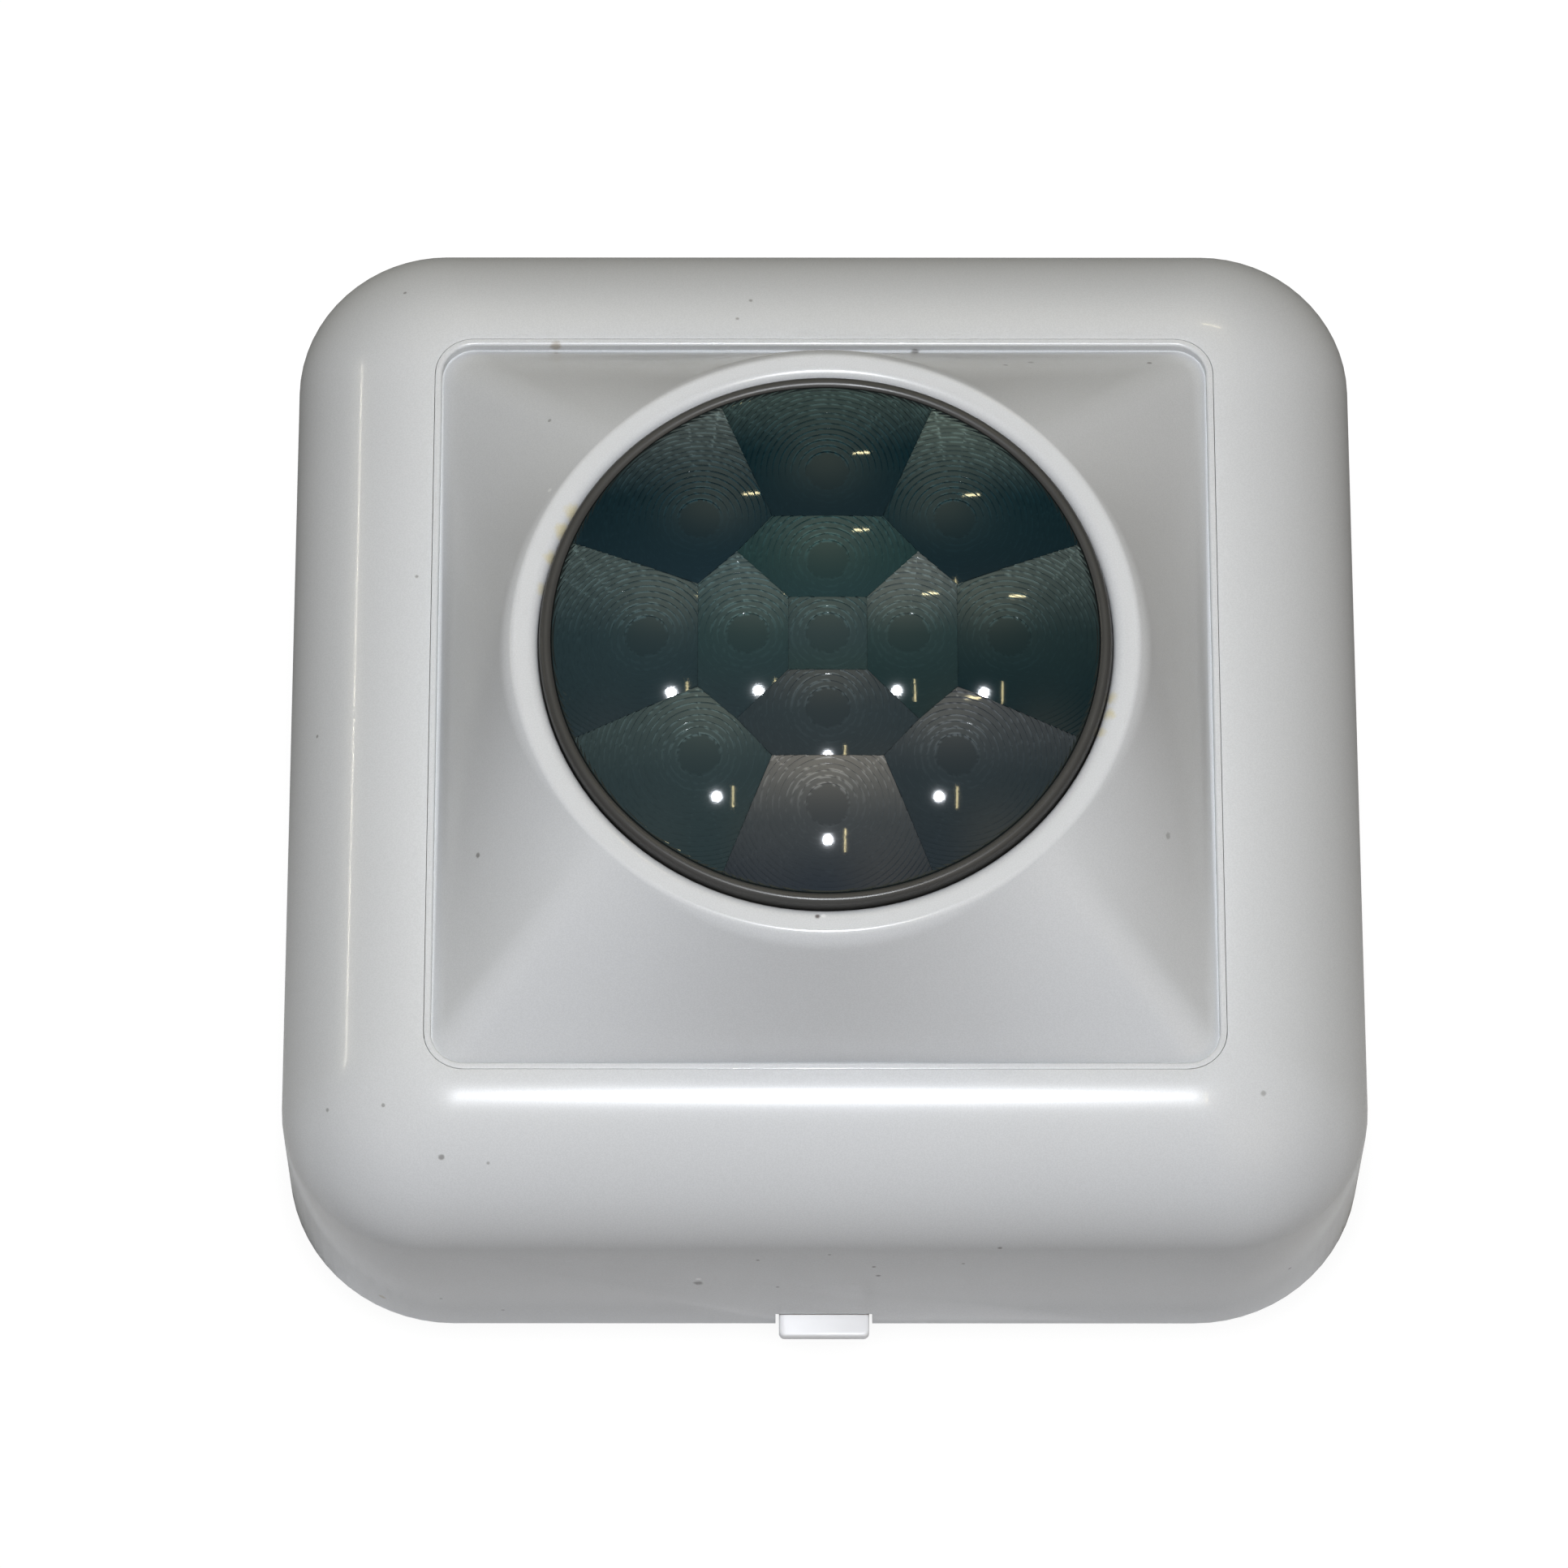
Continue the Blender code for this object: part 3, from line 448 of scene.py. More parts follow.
def square_section(half, corner, z):
    """One rounded-square section, counter-clockwise."""
    steps = 16
    points = []
    for k in range(4):
        x = (half - corner) * (1 if k in (0, 3) else -1)
        y = (half - corner) * (1 if k in (0, 1) else -1)
        for i in range(steps + 1):
            angle = (k + i / steps) * math.pi / 2
            points.append((x + corner * math.cos(angle), y + corner * math.sin(angle), z))
    return points


def pillow_section(share, inset=0.0):
    """A section of the pillowed edge; share runs from 0 at the wall to 1 at the frame."""
    angle = share * math.pi / 2
    out = max(math.cos(angle), 0.0) ** (2 / PILLOW_POWER)
    rise = math.sin(angle) ** (2 / PILLOW_POWER)
    half = FRAME_HALF + (COVER_HALF - DRAFT - FRAME_HALF - inset) * out
    corner = FRAME_CORNER + (TOP_CORNER - FRAME_CORNER - inset) * out
    return square_section(half, corner, WALL_TOP + (FRAME_Z - WALL_TOP - inset) * rise)


def build_cover():
    """The shell, from its bottom edge up the outside, over the frame and down the inside."""
    # rounded bottom edge: inset, rise
    rings = [
        square_section(COVER_HALF - inset, COVER_CORNER - inset, COVER_Z + rise)
        for inset, rise in ((0.25, 0.0), (0.07, 0.09), (0.0, 0.25))
    ]
    rings += [pillow_section(share) for share in [i / 34 for i in range(34)] + [0.985]]
    rings.append(square_section(FRAME_HALF + 0.02, FRAME_CORNER + 0.02, FRAME_Z))
    # edge of the opening: how far its half width and corner are off, and the drop below the frame
    for wider, sharper, drop in (
        (0.04, 0.0, 0.0), (0.01, 0.03, 0.01), (0.0, 0.04, 0.04), (0.0, 0.04, COVER_WALL)
    ):
        rings.append(
            square_section(OPENING_HALF + wider, OPENING_CORNER - sharper, FRAME_Z - drop)
        )
    rings += [pillow_section(0.92 - i * 0.04, COVER_WALL) for i in range(24)]
    inner_half, inner_corner = COVER_HALF - COVER_WALL, COVER_CORNER - COVER_WALL
    rings.append(square_section(inner_half - 0.02, inner_corner, COVER_Z + 0.1))
    rings.append(square_section(inner_half + 0.1, inner_corner, COVER_Z))
    body = Build()
    body.loft(rings)
    cover = body.make("front_cover_shell", [cover_mat], smooth=None)
    # notch for the latch tab
    cut_block(cover, low=(-4.95, -56.5, -1.0), high=(4.95, -51.0, 3.4))
    smooth_shade(cover.data, 38)
    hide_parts("front_cover")
    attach(cover, "cover")


def build_cover_fixings():
    """Bored posts at the ears, two ledges at the +Y wall and one at the -Y wall."""
    post_r, post_z, post_top = 2.8, 23.9, 31.6
    bore_r, bore_top = 1.25, 29.0
    chamfer = 0.08
    body = Build()
    post = [
        (bore_r, post_z), (post_r - chamfer, post_z), (post_r, post_z + chamfer), (post_r, post_top)
    ]
    for x, y in EARS:
        body.turn(post, 32, x, y)
        body.turn([(bore_r, bore_top), (bore_r, post_z)], 24, x, y)
        body.turn([(0.001, bore_top), (bore_r, bore_top)], 24, x, y)
    for x in (-28.0, 28.0):
        body.block((x - 3.5, 50.4, 2.0), (x + 3.5, 53.4, 3.7), edge=0.2)
    body.block((-3.2, -53.4, 5.4), (3.2, -51.9, 6.6), edge=0.2)
    fixings = body.make("front_cover_fixings", [cover_mat])
    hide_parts("front_cover")
    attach(fixings, "cover")


# ---------------------------------------------------------------- lens insert


def insert_angles():
    """Directions round the insert, closer together where its corners turn."""
    turn = math.degrees(math.atan2(INSERT_HALF - INSERT_CORNER, INSERT_HALF))
    flat = [turn * (i / 14) for i in range(-14, 15)]
    corner = [turn + (90.0 - 2 * turn) * i / 8 for i in range(1, 8)]
    return [math.radians(90 * k + angle) for k in range(4) for angle in flat + corner]


ANGLES = insert_angles()


def square_reach(angle, half, corner):
    """Distance from the centre to a rounded square, in the direction of angle."""
    sides = abs(math.cos(angle)), abs(math.sin(angle))
    along, across = max(sides), min(sides)
    flat = half - corner
    if half * across / along <= flat:
        return half / along
    bulge = max(corner**2 - (flat * (along - across)) ** 2, 0.0)
    return flat * (along + across) + math.sqrt(bulge)


def square_ring(half, corner, z):
    reaches = [(angle, square_reach(angle, half, corner)) for angle in ANGLES]
    return [(reach * math.cos(angle), reach * math.sin(angle), z) for angle, reach in reaches]


def round_ring(radius, z):
    return [(radius * math.cos(angle), radius * math.sin(angle), z) for angle in ANGLES]


def roll(slope):
    """Reach and drop from the land to a slope, round a close curve and then a wide one."""
    knee = min(slope, KNEE)
    reach = EDGE_ROLL * math.sin(knee) + WIDE_ROLL * (math.sin(slope) - math.sin(knee))
    drop = EDGE_ROLL * (1 - math.cos(knee)) + WIDE_ROLL * (math.cos(knee) - math.cos(slope))
    return reach, drop


def slope_over(reach):
    """Slope that carries hollow foot, straight run and rolled top over reach up to the land."""
    rise = LAND_Z - FRAME_Z + STEP_DOWN
    low, high = 0.1, 1.4
    for _ in range(50):
        slope = (low + high) / 2
        over, drop = roll(slope)
        run = reach - over - FOOT_R * math.sin(slope)
        climb = drop + FOOT_R * (1 - math.cos(slope)) + run * math.tan(slope)
        if climb < rise:
            low = slope
        else:
            high = slope
    return low


FOOT_SHARE, RUN_SHARE = 0.35, 0.6  # shares of the sweep where its foot and its straight run end


def sweep_ring(share, inset=0.0):
    """A section of the sweep, from the step (0) to the land (1), moved in along its normal."""
    foot_z = FRAME_Z - STEP_DOWN
    ring = []
    for angle in ANGLES:
        reach = square_reach(angle, INSERT_HALF - LIP, INSERT_CORNER - LIP) - LAND_R
        slope = slope_over(reach)
        foot = FOOT_R * math.sin(slope)
        if share < FOOT_SHARE:
            tilt = slope * share / FOOT_SHARE
            along = FOOT_R * math.sin(tilt)
            z = foot_z + FOOT_R * (1 - math.cos(tilt))
        elif share < RUN_SHARE:
            tilt = slope
            run = (reach - roll(slope)[0] - foot) * (share - FOOT_SHARE) / 0.25
            along = foot + run
            z = foot_z + FOOT_R * (1 - math.cos(tilt)) + run * math.tan(tilt)
        else:
            tilt = slope * (1 - (share - RUN_SHARE) / 0.4)
            over, drop = roll(tilt)
            along = reach - over
            z = LAND_Z - drop
        radius = LAND_R + reach - along - inset * math.sin(tilt)
        x, y = radius * math.cos(angle), radius * math.sin(angle)
        ring.append((x, y, z - inset * math.cos(tilt)))
    return ring


def insert_rings():
    """Sections up the outside, over the lip, up the sweep, down the throat and back underneath."""
    rings = [square_ring(INSERT_HALF, INSERT_CORNER, SKIRT_Z)]
    # outer edge of the lip: inset, drop below the frame
    for inset, drop in ((0.0, 0.04), (0.01, 0.01), (0.04, 0.0)):
        rings.append(square_ring(INSERT_HALF - inset, INSERT_CORNER - inset, FRAME_Z - drop))
    # its inner edge, rounded into the step: width beyond the step, drop
    for out, drop in ((0.28, 0.0), (0.17, 0.02), (0.08, 0.08), (0.02, 0.17), (0.0, 0.28)):
        rings.append(square_ring(INSERT_HALF - LIP + out, INSERT_CORNER - LIP + out, FRAME_Z - drop))
    shares = [i * 0.07 for i in range(6)] + [0.42, 0.48, 0.54]
    shares += [RUN_SHARE + i / 60 for i in range(25)]
    rings += [sweep_ring(share) for share in shares]
    for i in range(13):
        angle = math.pi / 2 * i / 12
        radius = LAND_IN - (LAND_IN - THROAT_R) * math.sin(angle)
        rings.append(round_ring(radius, THROAT_Z + (LAND_Z - THROAT_Z) * math.cos(angle)))
    rings.append(round_ring(THROAT_R, SEAT_Z))
    rings += [round_ring(SEAT_R, z) for z in (SEAT_Z, SEAT_END)]
    under = [sweep_ring(share, INSERT_WALL) for share in (0.6, 0.5, 0.4, 0.35, 0.28, 0.2, 0.1)]
    rings.append([(x, y, SEAT_END) for x, y, _ in under[0]])
    rings += under[1:]
    for z in (FRAME_Z - 3.2, SKIRT_Z):
        rings.append(square_ring(INSERT_HALF - INSERT_WALL, INSERT_CORNER - INSERT_WALL, z))
    return rings


def add_ear(body, x, y):
    """A flat ear outwards from the skirt, and a block where the two join."""
    along = Vector((x, y, 0)).normalized()
    side = Vector((-along.y, along.x, 0)) * 3.6
    near = INSERT_HALF - 1.6
    for far, low, high, edge in (
        (49.2, EAR_Z, SKIRT_Z, 0.15),
        (INSERT_HALF - 0.4, EAR_Z + 1.0, EAR_Z + 6.0, 0.0),
    ):
        start, end = along * near - side, along * far + side
        body.block(
            (min(start.x, end.x), min(start.y, end.y), low),
            (max(start.x, end.x), max(start.y, end.y), high),
            edge=edge,
        )


def build_insert():
    body = Build()
    body.loft(insert_rings())
    for x, y in EARS:
        add_ear(body, x, y)
    # post over the tamper switch
    post = [(0.001, 29.2), (2.05, 29.2), (2.2, 29.35), (2.2, 44.8)]
    body.turn(post, 32, TAMPER_X, TAMPER_Y)
    insert = body.make("lens_bezel_sweep", [insert_mat], smooth=32)
    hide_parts("lens_bezel")
    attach(insert, "cover")


# ---------------------------------------------------------------- lens

HALF_SECTOR = math.radians(22.5)  # half the angle that an outer facet takes up
INNER_DISTANCE = 7.95  # distance of the four inner facets' centres from the axis
OUTER_DISTANCE = 17.95  # and of the eight outer ones
CENTRE_HALF = 3.9  # half of the centre square
DIAGONAL = 9.0  # x and y of the inner facets' shared outer corners
TIP_X, TIP_Y = 5.5, 12.85  # ends of an inner facet's outer edge
SHIFT_X, SHIFT_Y = 0.2, -0.43  # the facets sit this far off the housing's axis
FACET_GAP = 0.008
FACET_R = LENS_R - 0.12
WALL_DROP = 0.42  # depth of the wall round a facet
LENS_CURVE = 24.0  # radius the grooves stand for
SMOOTH_R = 2.2  # smooth middle of a facet
BODY_TINT = (0.022, 0.030, 0.030, 1.0)
NEAR_EDGE = 1e-6

# colour of each facet at its far (+Y) side, middle and near (-Y) side: the lens's dark colour with
# painted reflections of the surroundings, so each facet's own brightness and its change from far to
# near are painted light and shade
FACET_COLOURS_WITH_PAINTED_REFLECTION = {
    "centre": ((0.052, 0.081, 0.082), (0.044, 0.071, 0.075), (0.04, 0.066, 0.065)),
    "inner_north": ((0.041, 0.077, 0.077), (0.029, 0.063, 0.063), (0.031, 0.062, 0.065)),
    "inner_west": ((0.091, 0.128, 0.129), (0.037, 0.067, 0.069), (0.033, 0.052, 0.058)),
    "inner_south": ((0.066, 0.078, 0.082), (0.047, 0.063, 0.069), (0.045, 0.058, 0.063)),
    "inner_east": ((0.142, 0.164, 0.16), (0.034, 0.061, 0.062), (0.02, 0.041, 0.043)),
    "north": ((0.076, 0.107, 0.1), (0.009, 0.031, 0.038), (0.016, 0.033, 0.04)),
    "northwest": ((0.115, 0.139, 0.134), (0.013, 0.034, 0.042), (0.019, 0.039, 0.049)),
    "west": ((0.101, 0.132, 0.128), (0.034, 0.058, 0.064), (0.028, 0.046, 0.052)),
    "southwest": ((0.081, 0.11, 0.107), (0.043, 0.065, 0.069), (0.029, 0.05, 0.052)),
    "south": ((0.173, 0.171, 0.161), (0.073, 0.082, 0.086), (0.034, 0.044, 0.054)),
    "southeast": ((0.099, 0.106, 0.11), (0.041, 0.055, 0.061), (0.027, 0.039, 0.045)),
    "east": ((0.106, 0.133, 0.126), (0.025, 0.046, 0.048), (0.008, 0.025, 0.031)),
    "northeast": ((0.139, 0.173, 0.156), (0.013, 0.036, 0.043), (0.015, 0.032, 0.039)),
}


def dome(radius, top=LENS_TOP_Z, edge=LENS_EDGE_Z):
    """Level of a spherical cap that reaches edge at the lens's radius."""
    sag = top - edge
    ball = (LENS_R**2 + sag**2) / (2 * sag)
    return top - ball + math.sqrt(ball**2 - radius**2)


def rotated(points, angle):
    cos, sin = math.cos(angle), math.sin(angle)
    return [(x * cos - y * sin, x * sin + y * cos) for x, y in points]


def shifted(point):
    return point[0] + SHIFT_X, point[1] + SHIFT_Y


def groove_drop(radius, start):
    """How far a groove that starts at radius start has sunk at radius."""
    return (max(radius, start) ** 2 - start**2) / (2 * LENS_CURVE)


class Facet:
    """A facet with grooves round its centre: a polygon, bounded by the rim too if at_rim."""

    def __init__(self, name, centre, outline, at_rim):
        self.centre = shifted(centre)
        self.outline = [shifted(point) for point in outline]
        self.at_rim = at_rim
        # painted reflections: the facet's colour at its far side, middle and near side
        self.far_tone, self.middle_tone, self.near_colour_with_reflection = FACET_COLOURS_WITH_PAINTED_REFLECTION[name]
        self.edges = self.straight_edges()
        self.corners = self.corner_angles()
        turns = [math.radians(angle) for angle in range(0, 360, 5)]
        heights = [self.centre[1] + self.reach(turn) * math.sin(turn) for turn in turns]
        self.bottom, self.top = min(heights), max(heights)

    def straight_edges(self):
        """(outward normal x and y, distance from the facet's centre) of each edge."""
        count = len(self.outline)
        middle = [sum(point[axis] for point in self.outline) / count for axis in (0, 1)]
        edges = []
        for start, end in zip(self.outline, self.outline[1:] + self.outline[:1]):
            x, y = end[1] - start[1], start[0] - end[0]
            size = math.hypot(x, y)
            x, y = x / size, y / size
            if x * (middle[0] - start[0]) + y * (middle[1] - start[1]) > 0:
                x, y = -x, -y
            distance = x * (start[0] - self.centre[0]) + y * (start[1] - self.centre[1])
            edges.append((x, y, distance - FACET_GAP))
        return edges

    def corner_angles(self):
        corners = list(self.outline)
        if self.at_rim:
            middle = math.atan2(self.centre[1], self.centre[0])
            for end in (1, -1):
                angle = middle + end * HALF_SECTOR
                corners.append((FACET_R * math.cos(angle), FACET_R * math.sin(angle)))
        return [
            math.atan2(y - self.centre[1], x - self.centre[0]) % (2 * math.pi) for x, y in corners
        ]

    def reach(self, angle):
        """Distance from the facet's centre to its boundary."""
        cos, sin = math.cos(angle), math.sin(angle)
        best = 60.0
        for x, y, distance in self.edges:
            along = x * cos + y * sin
            if along > 1e-9:
                best = min(best, distance / along)
        if self.at_rim:
            x, y = self.centre
            dot = x * cos + y * sin
            best = min(best, -dot + math.sqrt(max(dot * dot - (x**2 + y**2) + FACET_R**2, 0.0)))
        return best

    def crossings(self, radius):
        """Angles at which a circle round the facet's centre crosses its boundary."""
        found = []
        for x, y, distance in self.edges:
            if 0 < distance < radius:
                found.append((math.atan2(y, x), math.acos(distance / radius)))
        if self.at_rim and radius > 0:
            gap = math.hypot(*self.centre)
            share = (FACET_R**2 - gap**2 - radius**2) / (2 * gap * radius)
            if abs(share) < 1:
                found.append((math.atan2(self.centre[1], self.centre[0]), math.acos(share)))
        return [(turn + side * spread) % (2 * math.pi) for turn, spread in found for side in (-1, 1)]

    def band_angles(self, inner, outer):
        count = 48 if outer < 4 else max(int(2 * math.pi * outer / 0.42), 48)
        angles = [2 * math.pi * i / count for i in range(count)] + self.corners
        angles += self.crossings(inner) + self.crossings(outer)
        angles = sorted({round(angle, 9) for angle in angles})
        return [a for i, a in enumerate(angles) if i == 0 or a - angles[i - 1] > 1e-5]

    def point(self, angle, radius, drop):
        """A point on the facet, drop below the dome."""
        x = self.centre[0] + radius * math.cos(angle)
        y = self.centre[1] + radius * math.sin(angle)
        return x, y, dome(min(math.hypot(x, y), LENS_R)) - drop

    def tone(self, y, painted_light_scale):
        """Colour at y, painted reflection included, multiplied by a factor of painted light or shade.
        """
        share = min(max((y - self.bottom) / (self.top - self.bottom), 0.0), 1.0)
        if share < 0.5:
            low, high, share = self.near_colour_with_reflection, self.middle_tone, 2 * share
        else:
            low, high, share = self.middle_tone, self.far_tone, 2 * share - 1
        share = (share + share * share * (3 - 2 * share)) / 2
        return tuple((low[i] + (high[i] - low[i]) * share) * painted_light_scale for i in range(3)) + (1.0,)


def lens_facets():
    """A centre square, four facets round it and eight at the rim, counter-clockwise from +Y."""
    half = CENTRE_HALF
    square = [(-half, -half), (half, -half), (half, half), (-half, half)]
    facets = [Facet("centre", (0.0, 0.0), square, at_rim=False)]

    left_tip, right_tip = (-TIP_X, TIP_Y), (TIP_X, TIP_Y)
    left_diagonal = (-DIAGONAL, DIAGONAL)
    inner = [(-half, half), (half, half), (DIAGONAL, DIAGONAL), right_tip, left_tip, left_diagonal]
    for k, name in enumerate(("north", "west", "south", "east")):
        angle = math.radians(90 * k)
        centre = rotated([(0.0, INNER_DISTANCE)], angle)[0]
        facets.append(Facet("inner_" + name, centre, rotated(inner, angle), at_rim=False))

    # the outer facets' sides run out past the rim, which then bounds them
    beyond = 40.0
    sides = [math.pi / 2 - HALF_SECTOR, math.pi / 2 + HALF_SECTOR]
    far_ends = [(beyond * math.cos(side), beyond * math.sin(side)) for side in sides]
    straight = [left_tip, right_tip]
    cornered = rotated([(-TIP_Y, TIP_X), left_diagonal, left_tip], -math.pi / 4)
    names = ("north", "northwest", "west", "southwest", "south", "southeast", "east", "northeast")
    for k, name in enumerate(names):
        angle = math.radians(45 * k)
        outline = (cornered if k % 2 else straight) + far_ends
        centre = rotated([(0.0, OUTER_DISTANCE)], angle)[0]
        facets.append(Facet(name, centre, rotated(outline, angle), at_rim=True))
    return facets


def groove_bands():
    """(start of the groove, inner radius, outer radius, whether the band ends the groove).

    Grooves get closer together outwards, and the widest are cut finer, so they look round.
    """
    radii, radius = [0.0], SMOOTH_R
    while radius < 17.0:
        radii.append(radius)
        radius += max(0.70 - 0.028 * (radius - SMOOTH_R), 0.42)
    radii.append(radius)
    bands = []
    for low, high in zip(radii, radii[1:]):
        parts = 7 if low == 0 else 3 if low < 6 else 2 if low < 11 else 1
        cuts = [low + (high - low) * i / parts for i in range(parts + 1)]
        bands += [(low, cuts[i], cuts[i + 1], i == parts - 1) for i in range(parts)]
    return bands


class LensBuild:
    """Gathers the lens's faces, each point with its colour, painted reflections, highlights and shade
    included.
    """

    def __init__(self):
        self.verts, self.faces, self.colours_and_painted_light = [], [], []

    def add(self, points, colours_and_painted_light):
        base = len(self.verts)
        self.verts += points
        self.faces.append(tuple(range(base, base + len(points))))
        self.colours_and_painted_light += colours_and_painted_light

    def add_surface(self, facet, sides, start, inner, outer):
        """A piece of groove between two directions, cut off at the facet's boundary."""
        points = []
        for (angle, span), order in zip(sides, ((inner, outer), (outer, inner))):
            for radius in order:
                radius = min(radius, span)
                points.append(facet.point(angle, radius, groove_drop(radius, start)))
        keep = [points[0]]
        for point in points[1:]:
            if math.dist(point, keep[-1]) > 1e-5:
                keep.append(point)
        if math.dist(keep[-1], points[0]) < 1e-5:
            keep.pop()
        if len(keep) >= 3:
            # painted shade: the smooth middle of each facet is coloured a little darker
            painted_light_scale = 0.88 if start == 0 else 1.0
            self.add(keep, [facet.tone(y, painted_light_scale) for _, y, _ in keep])

    def add_wall(self, facet, corners, painted_light_scale):
        """An upright face through corners of (angle, radius, drop), in one colour scaled by painted
        light or shade.
        """
        wall = [facet.point(*corner) for corner in corners]
        self.add(wall, [facet.tone(wall[0][1], painted_light_scale)] * 4)

    def add_band(self, facet, start, inner, outer, ends):
        angles = facet.band_angles(inner, outer)
        rays = [(angle, facet.reach(angle)) for angle in angles]
        for i, (angle, span) in enumerate(rays):
            next_angle, next_span = rays[(i + 1) % len(rays)]
            shortest, longest = min(span, next_span), max(span, next_span)
            if longest <= inner + NEAR_EDGE:
                continue
            sides = ((angle, span), (next_angle, next_span))
            self.add_surface(facet, sides, start, inner, outer)
            if shortest > outer - NEAR_EDGE:
                if ends:
                    # up to the next groove, painted lighter than the facet and lightest where it
                    # faces -Y: a painted highlight on the groove walls
                    low = groove_drop(outer, start)
                    corners = [(angle, outer, low), (angle, outer, 0)]
                    corners += [(next_angle, outer, 0), (next_angle, outer, low)]
                    self.add_wall(facet, corners, 1.2 + 0.95 * max(math.sin(angle), 0.0))
            elif longest <= outer + NEAR_EDGE:
                # round the facet, painted darker than the facet: painted shade on its wall
                here, there = min(span, outer), min(next_span, outer)
                corners = [
                    (angle, here, WALL_DROP),
                    (angle, here, groove_drop(here, start)),
                    (next_angle, there, groove_drop(there, start)),
                    (next_angle, there, WALL_DROP),
                ]
                self.add_wall(facet, corners, 0.8)

    def add_body(self):
        """The lens body under the facets, with its flange."""
        steps = 160
        profile = [(r, dome(r) - 0.3) for r in (0.001, 7.0, 14.0, 20.0, 24.0, 26.6)]
        profile += [(26.95, dome(26.95) - 0.12), (LENS_R - 0.1, dome(LENS_R - 0.1) - 0.06)]
        profile += [(LENS_R, LENS_EDGE_Z - 0.2), (LENS_R, 46.75)]
        profile += [(29.5, 46.7), (29.6, 46.6), (29.6, 45.7), (LENS_R - 1.3, 45.7)]
        under = LENS_TOP_Z - 1.1, LENS_EDGE_Z - 1.1
        radii = (25.9, 24.0, 20.0, 16.0, 12.0, 8.0, 4.0, 0.001)
        profile += [(radius, dome(radius, *under)) for radius in radii]
        turns = [2 * math.pi * i / steps for i in range(steps + 1)]
        for start, end in zip(profile, profile[1:]):
            for a, b in zip(turns, turns[1:]):
                corners = ((a, start), (a, end), (b, end), (b, start))
                points = [(r * math.cos(t), r * math.sin(t), z) for t, (r, z) in corners]
                self.add(points, [BODY_TINT] * 4)

    def make(self, name):
        mesh = bpy.data.meshes.new(name)
        mesh.from_pydata([(x * MM, y * MM, z * MM) for x, y, z in self.verts], [], self.faces)
        # the lens's colour with its painted reflections, highlights and shade, one per point
        layer = mesh.attributes.new("colour_and_painted_light", "FLOAT_COLOR", "POINT")
        layer.data.foreach_set("color", [part for colour_and_painted_light in self.colours_and_painted_light for part in colour_and_painted_light])
        bm = bmesh.new()
        bm.from_mesh(mesh)
        bmesh.ops.remove_doubles(bm, verts=bm.verts, dist=2e-8)
        # the upper faces all look up
        for face in bm.faces:
            if face.normal.z < -0.3 and face.calc_center_median().z > 50.2 * MM:
                face.normal_flip()
        bm.to_mesh(mesh)
        bm.free()
        mesh.materials.append(lens_mat)
        obj = bpy.data.objects.new(name, mesh)
        looks.objects.link(obj)
        smooth_shade(mesh, 14)
        return obj


def build_lens():
    body = LensBuild()
    bands = groove_bands()
    for facet in lens_facets():
        for band in bands:
            body.add_band(facet, *band)
    body.add_body()
    lens = body.make("fresnel_lens_grooved")
    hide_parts("fresnel_lens")
    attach(lens, "cover")


# radius, height of the dark band round the lens
RIM_PROFILE = [
    (27.28, 46.95), (29.6, 46.95), (29.6, 47.8), (28.47, 47.85), (28.46, 50.0), (28.44, 50.2),
    (28.39, 50.38), (28.31, 50.54), (28.2, 50.67), (28.06, 50.76), (27.9, 50.8), (27.74, 50.8),
    (27.58, 50.77), (27.44, 50.71), (27.33, 50.63), (27.28, 50.56),
]


def build_rim():
    body = Build()
    body.turn(RIM_PROFILE, 200, closed=True)
    rim = body.make("lens_rim_band", [rim_mat])
    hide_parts("lens_rim_ring")
    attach(rim, "cover")


# ---------------------------------------------------------------- release latch


def latch_outline(inset, z):
    """The finger tab's outline, its two outer corners rounded."""
    half, tip, back, corner = 4.6 - inset, -57.2 + inset, -41.0 - inset, 0.6
    points = []
    for k, x in ((2, -half + corner), (3, half - corner)):
        for i in range(9):
            angle = (k + i / 8) * math.pi / 2
            across, along = corner * math.cos(angle), corner * math.sin(angle)
            points.append((x + across, tip + corner + along, z))
    return points + [(half, back, z), (-half, back, z)]


def build_latch():
    """The finger tab, with an upright and a catch that points to -Y."""
    # inset, height
    levels = [
        (0.12, 1.95), (0.03, 1.98), (0.0, 2.07), (0.0, 2.8), (0.04, 2.93), (0.12, 3.01),
        (0.25, 3.05),
    ]
    body = Build()
    body.loft([latch_outline(inset, z) for inset, z in levels], closed=False)
    body.block((-3.0, -50.4, 2.6), (3.0, -48.8, 9.4), edge=0.2)
    body.block((-3.0, -51.3, 7.4), (3.0, -50.0, 9.0), edge=0.15)
    latch = body.make("release_latch_tab", [latch_mat])
    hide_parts("release_latch")
    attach(latch, "latch")


# ---------------------------------------------------------------- tamper spring


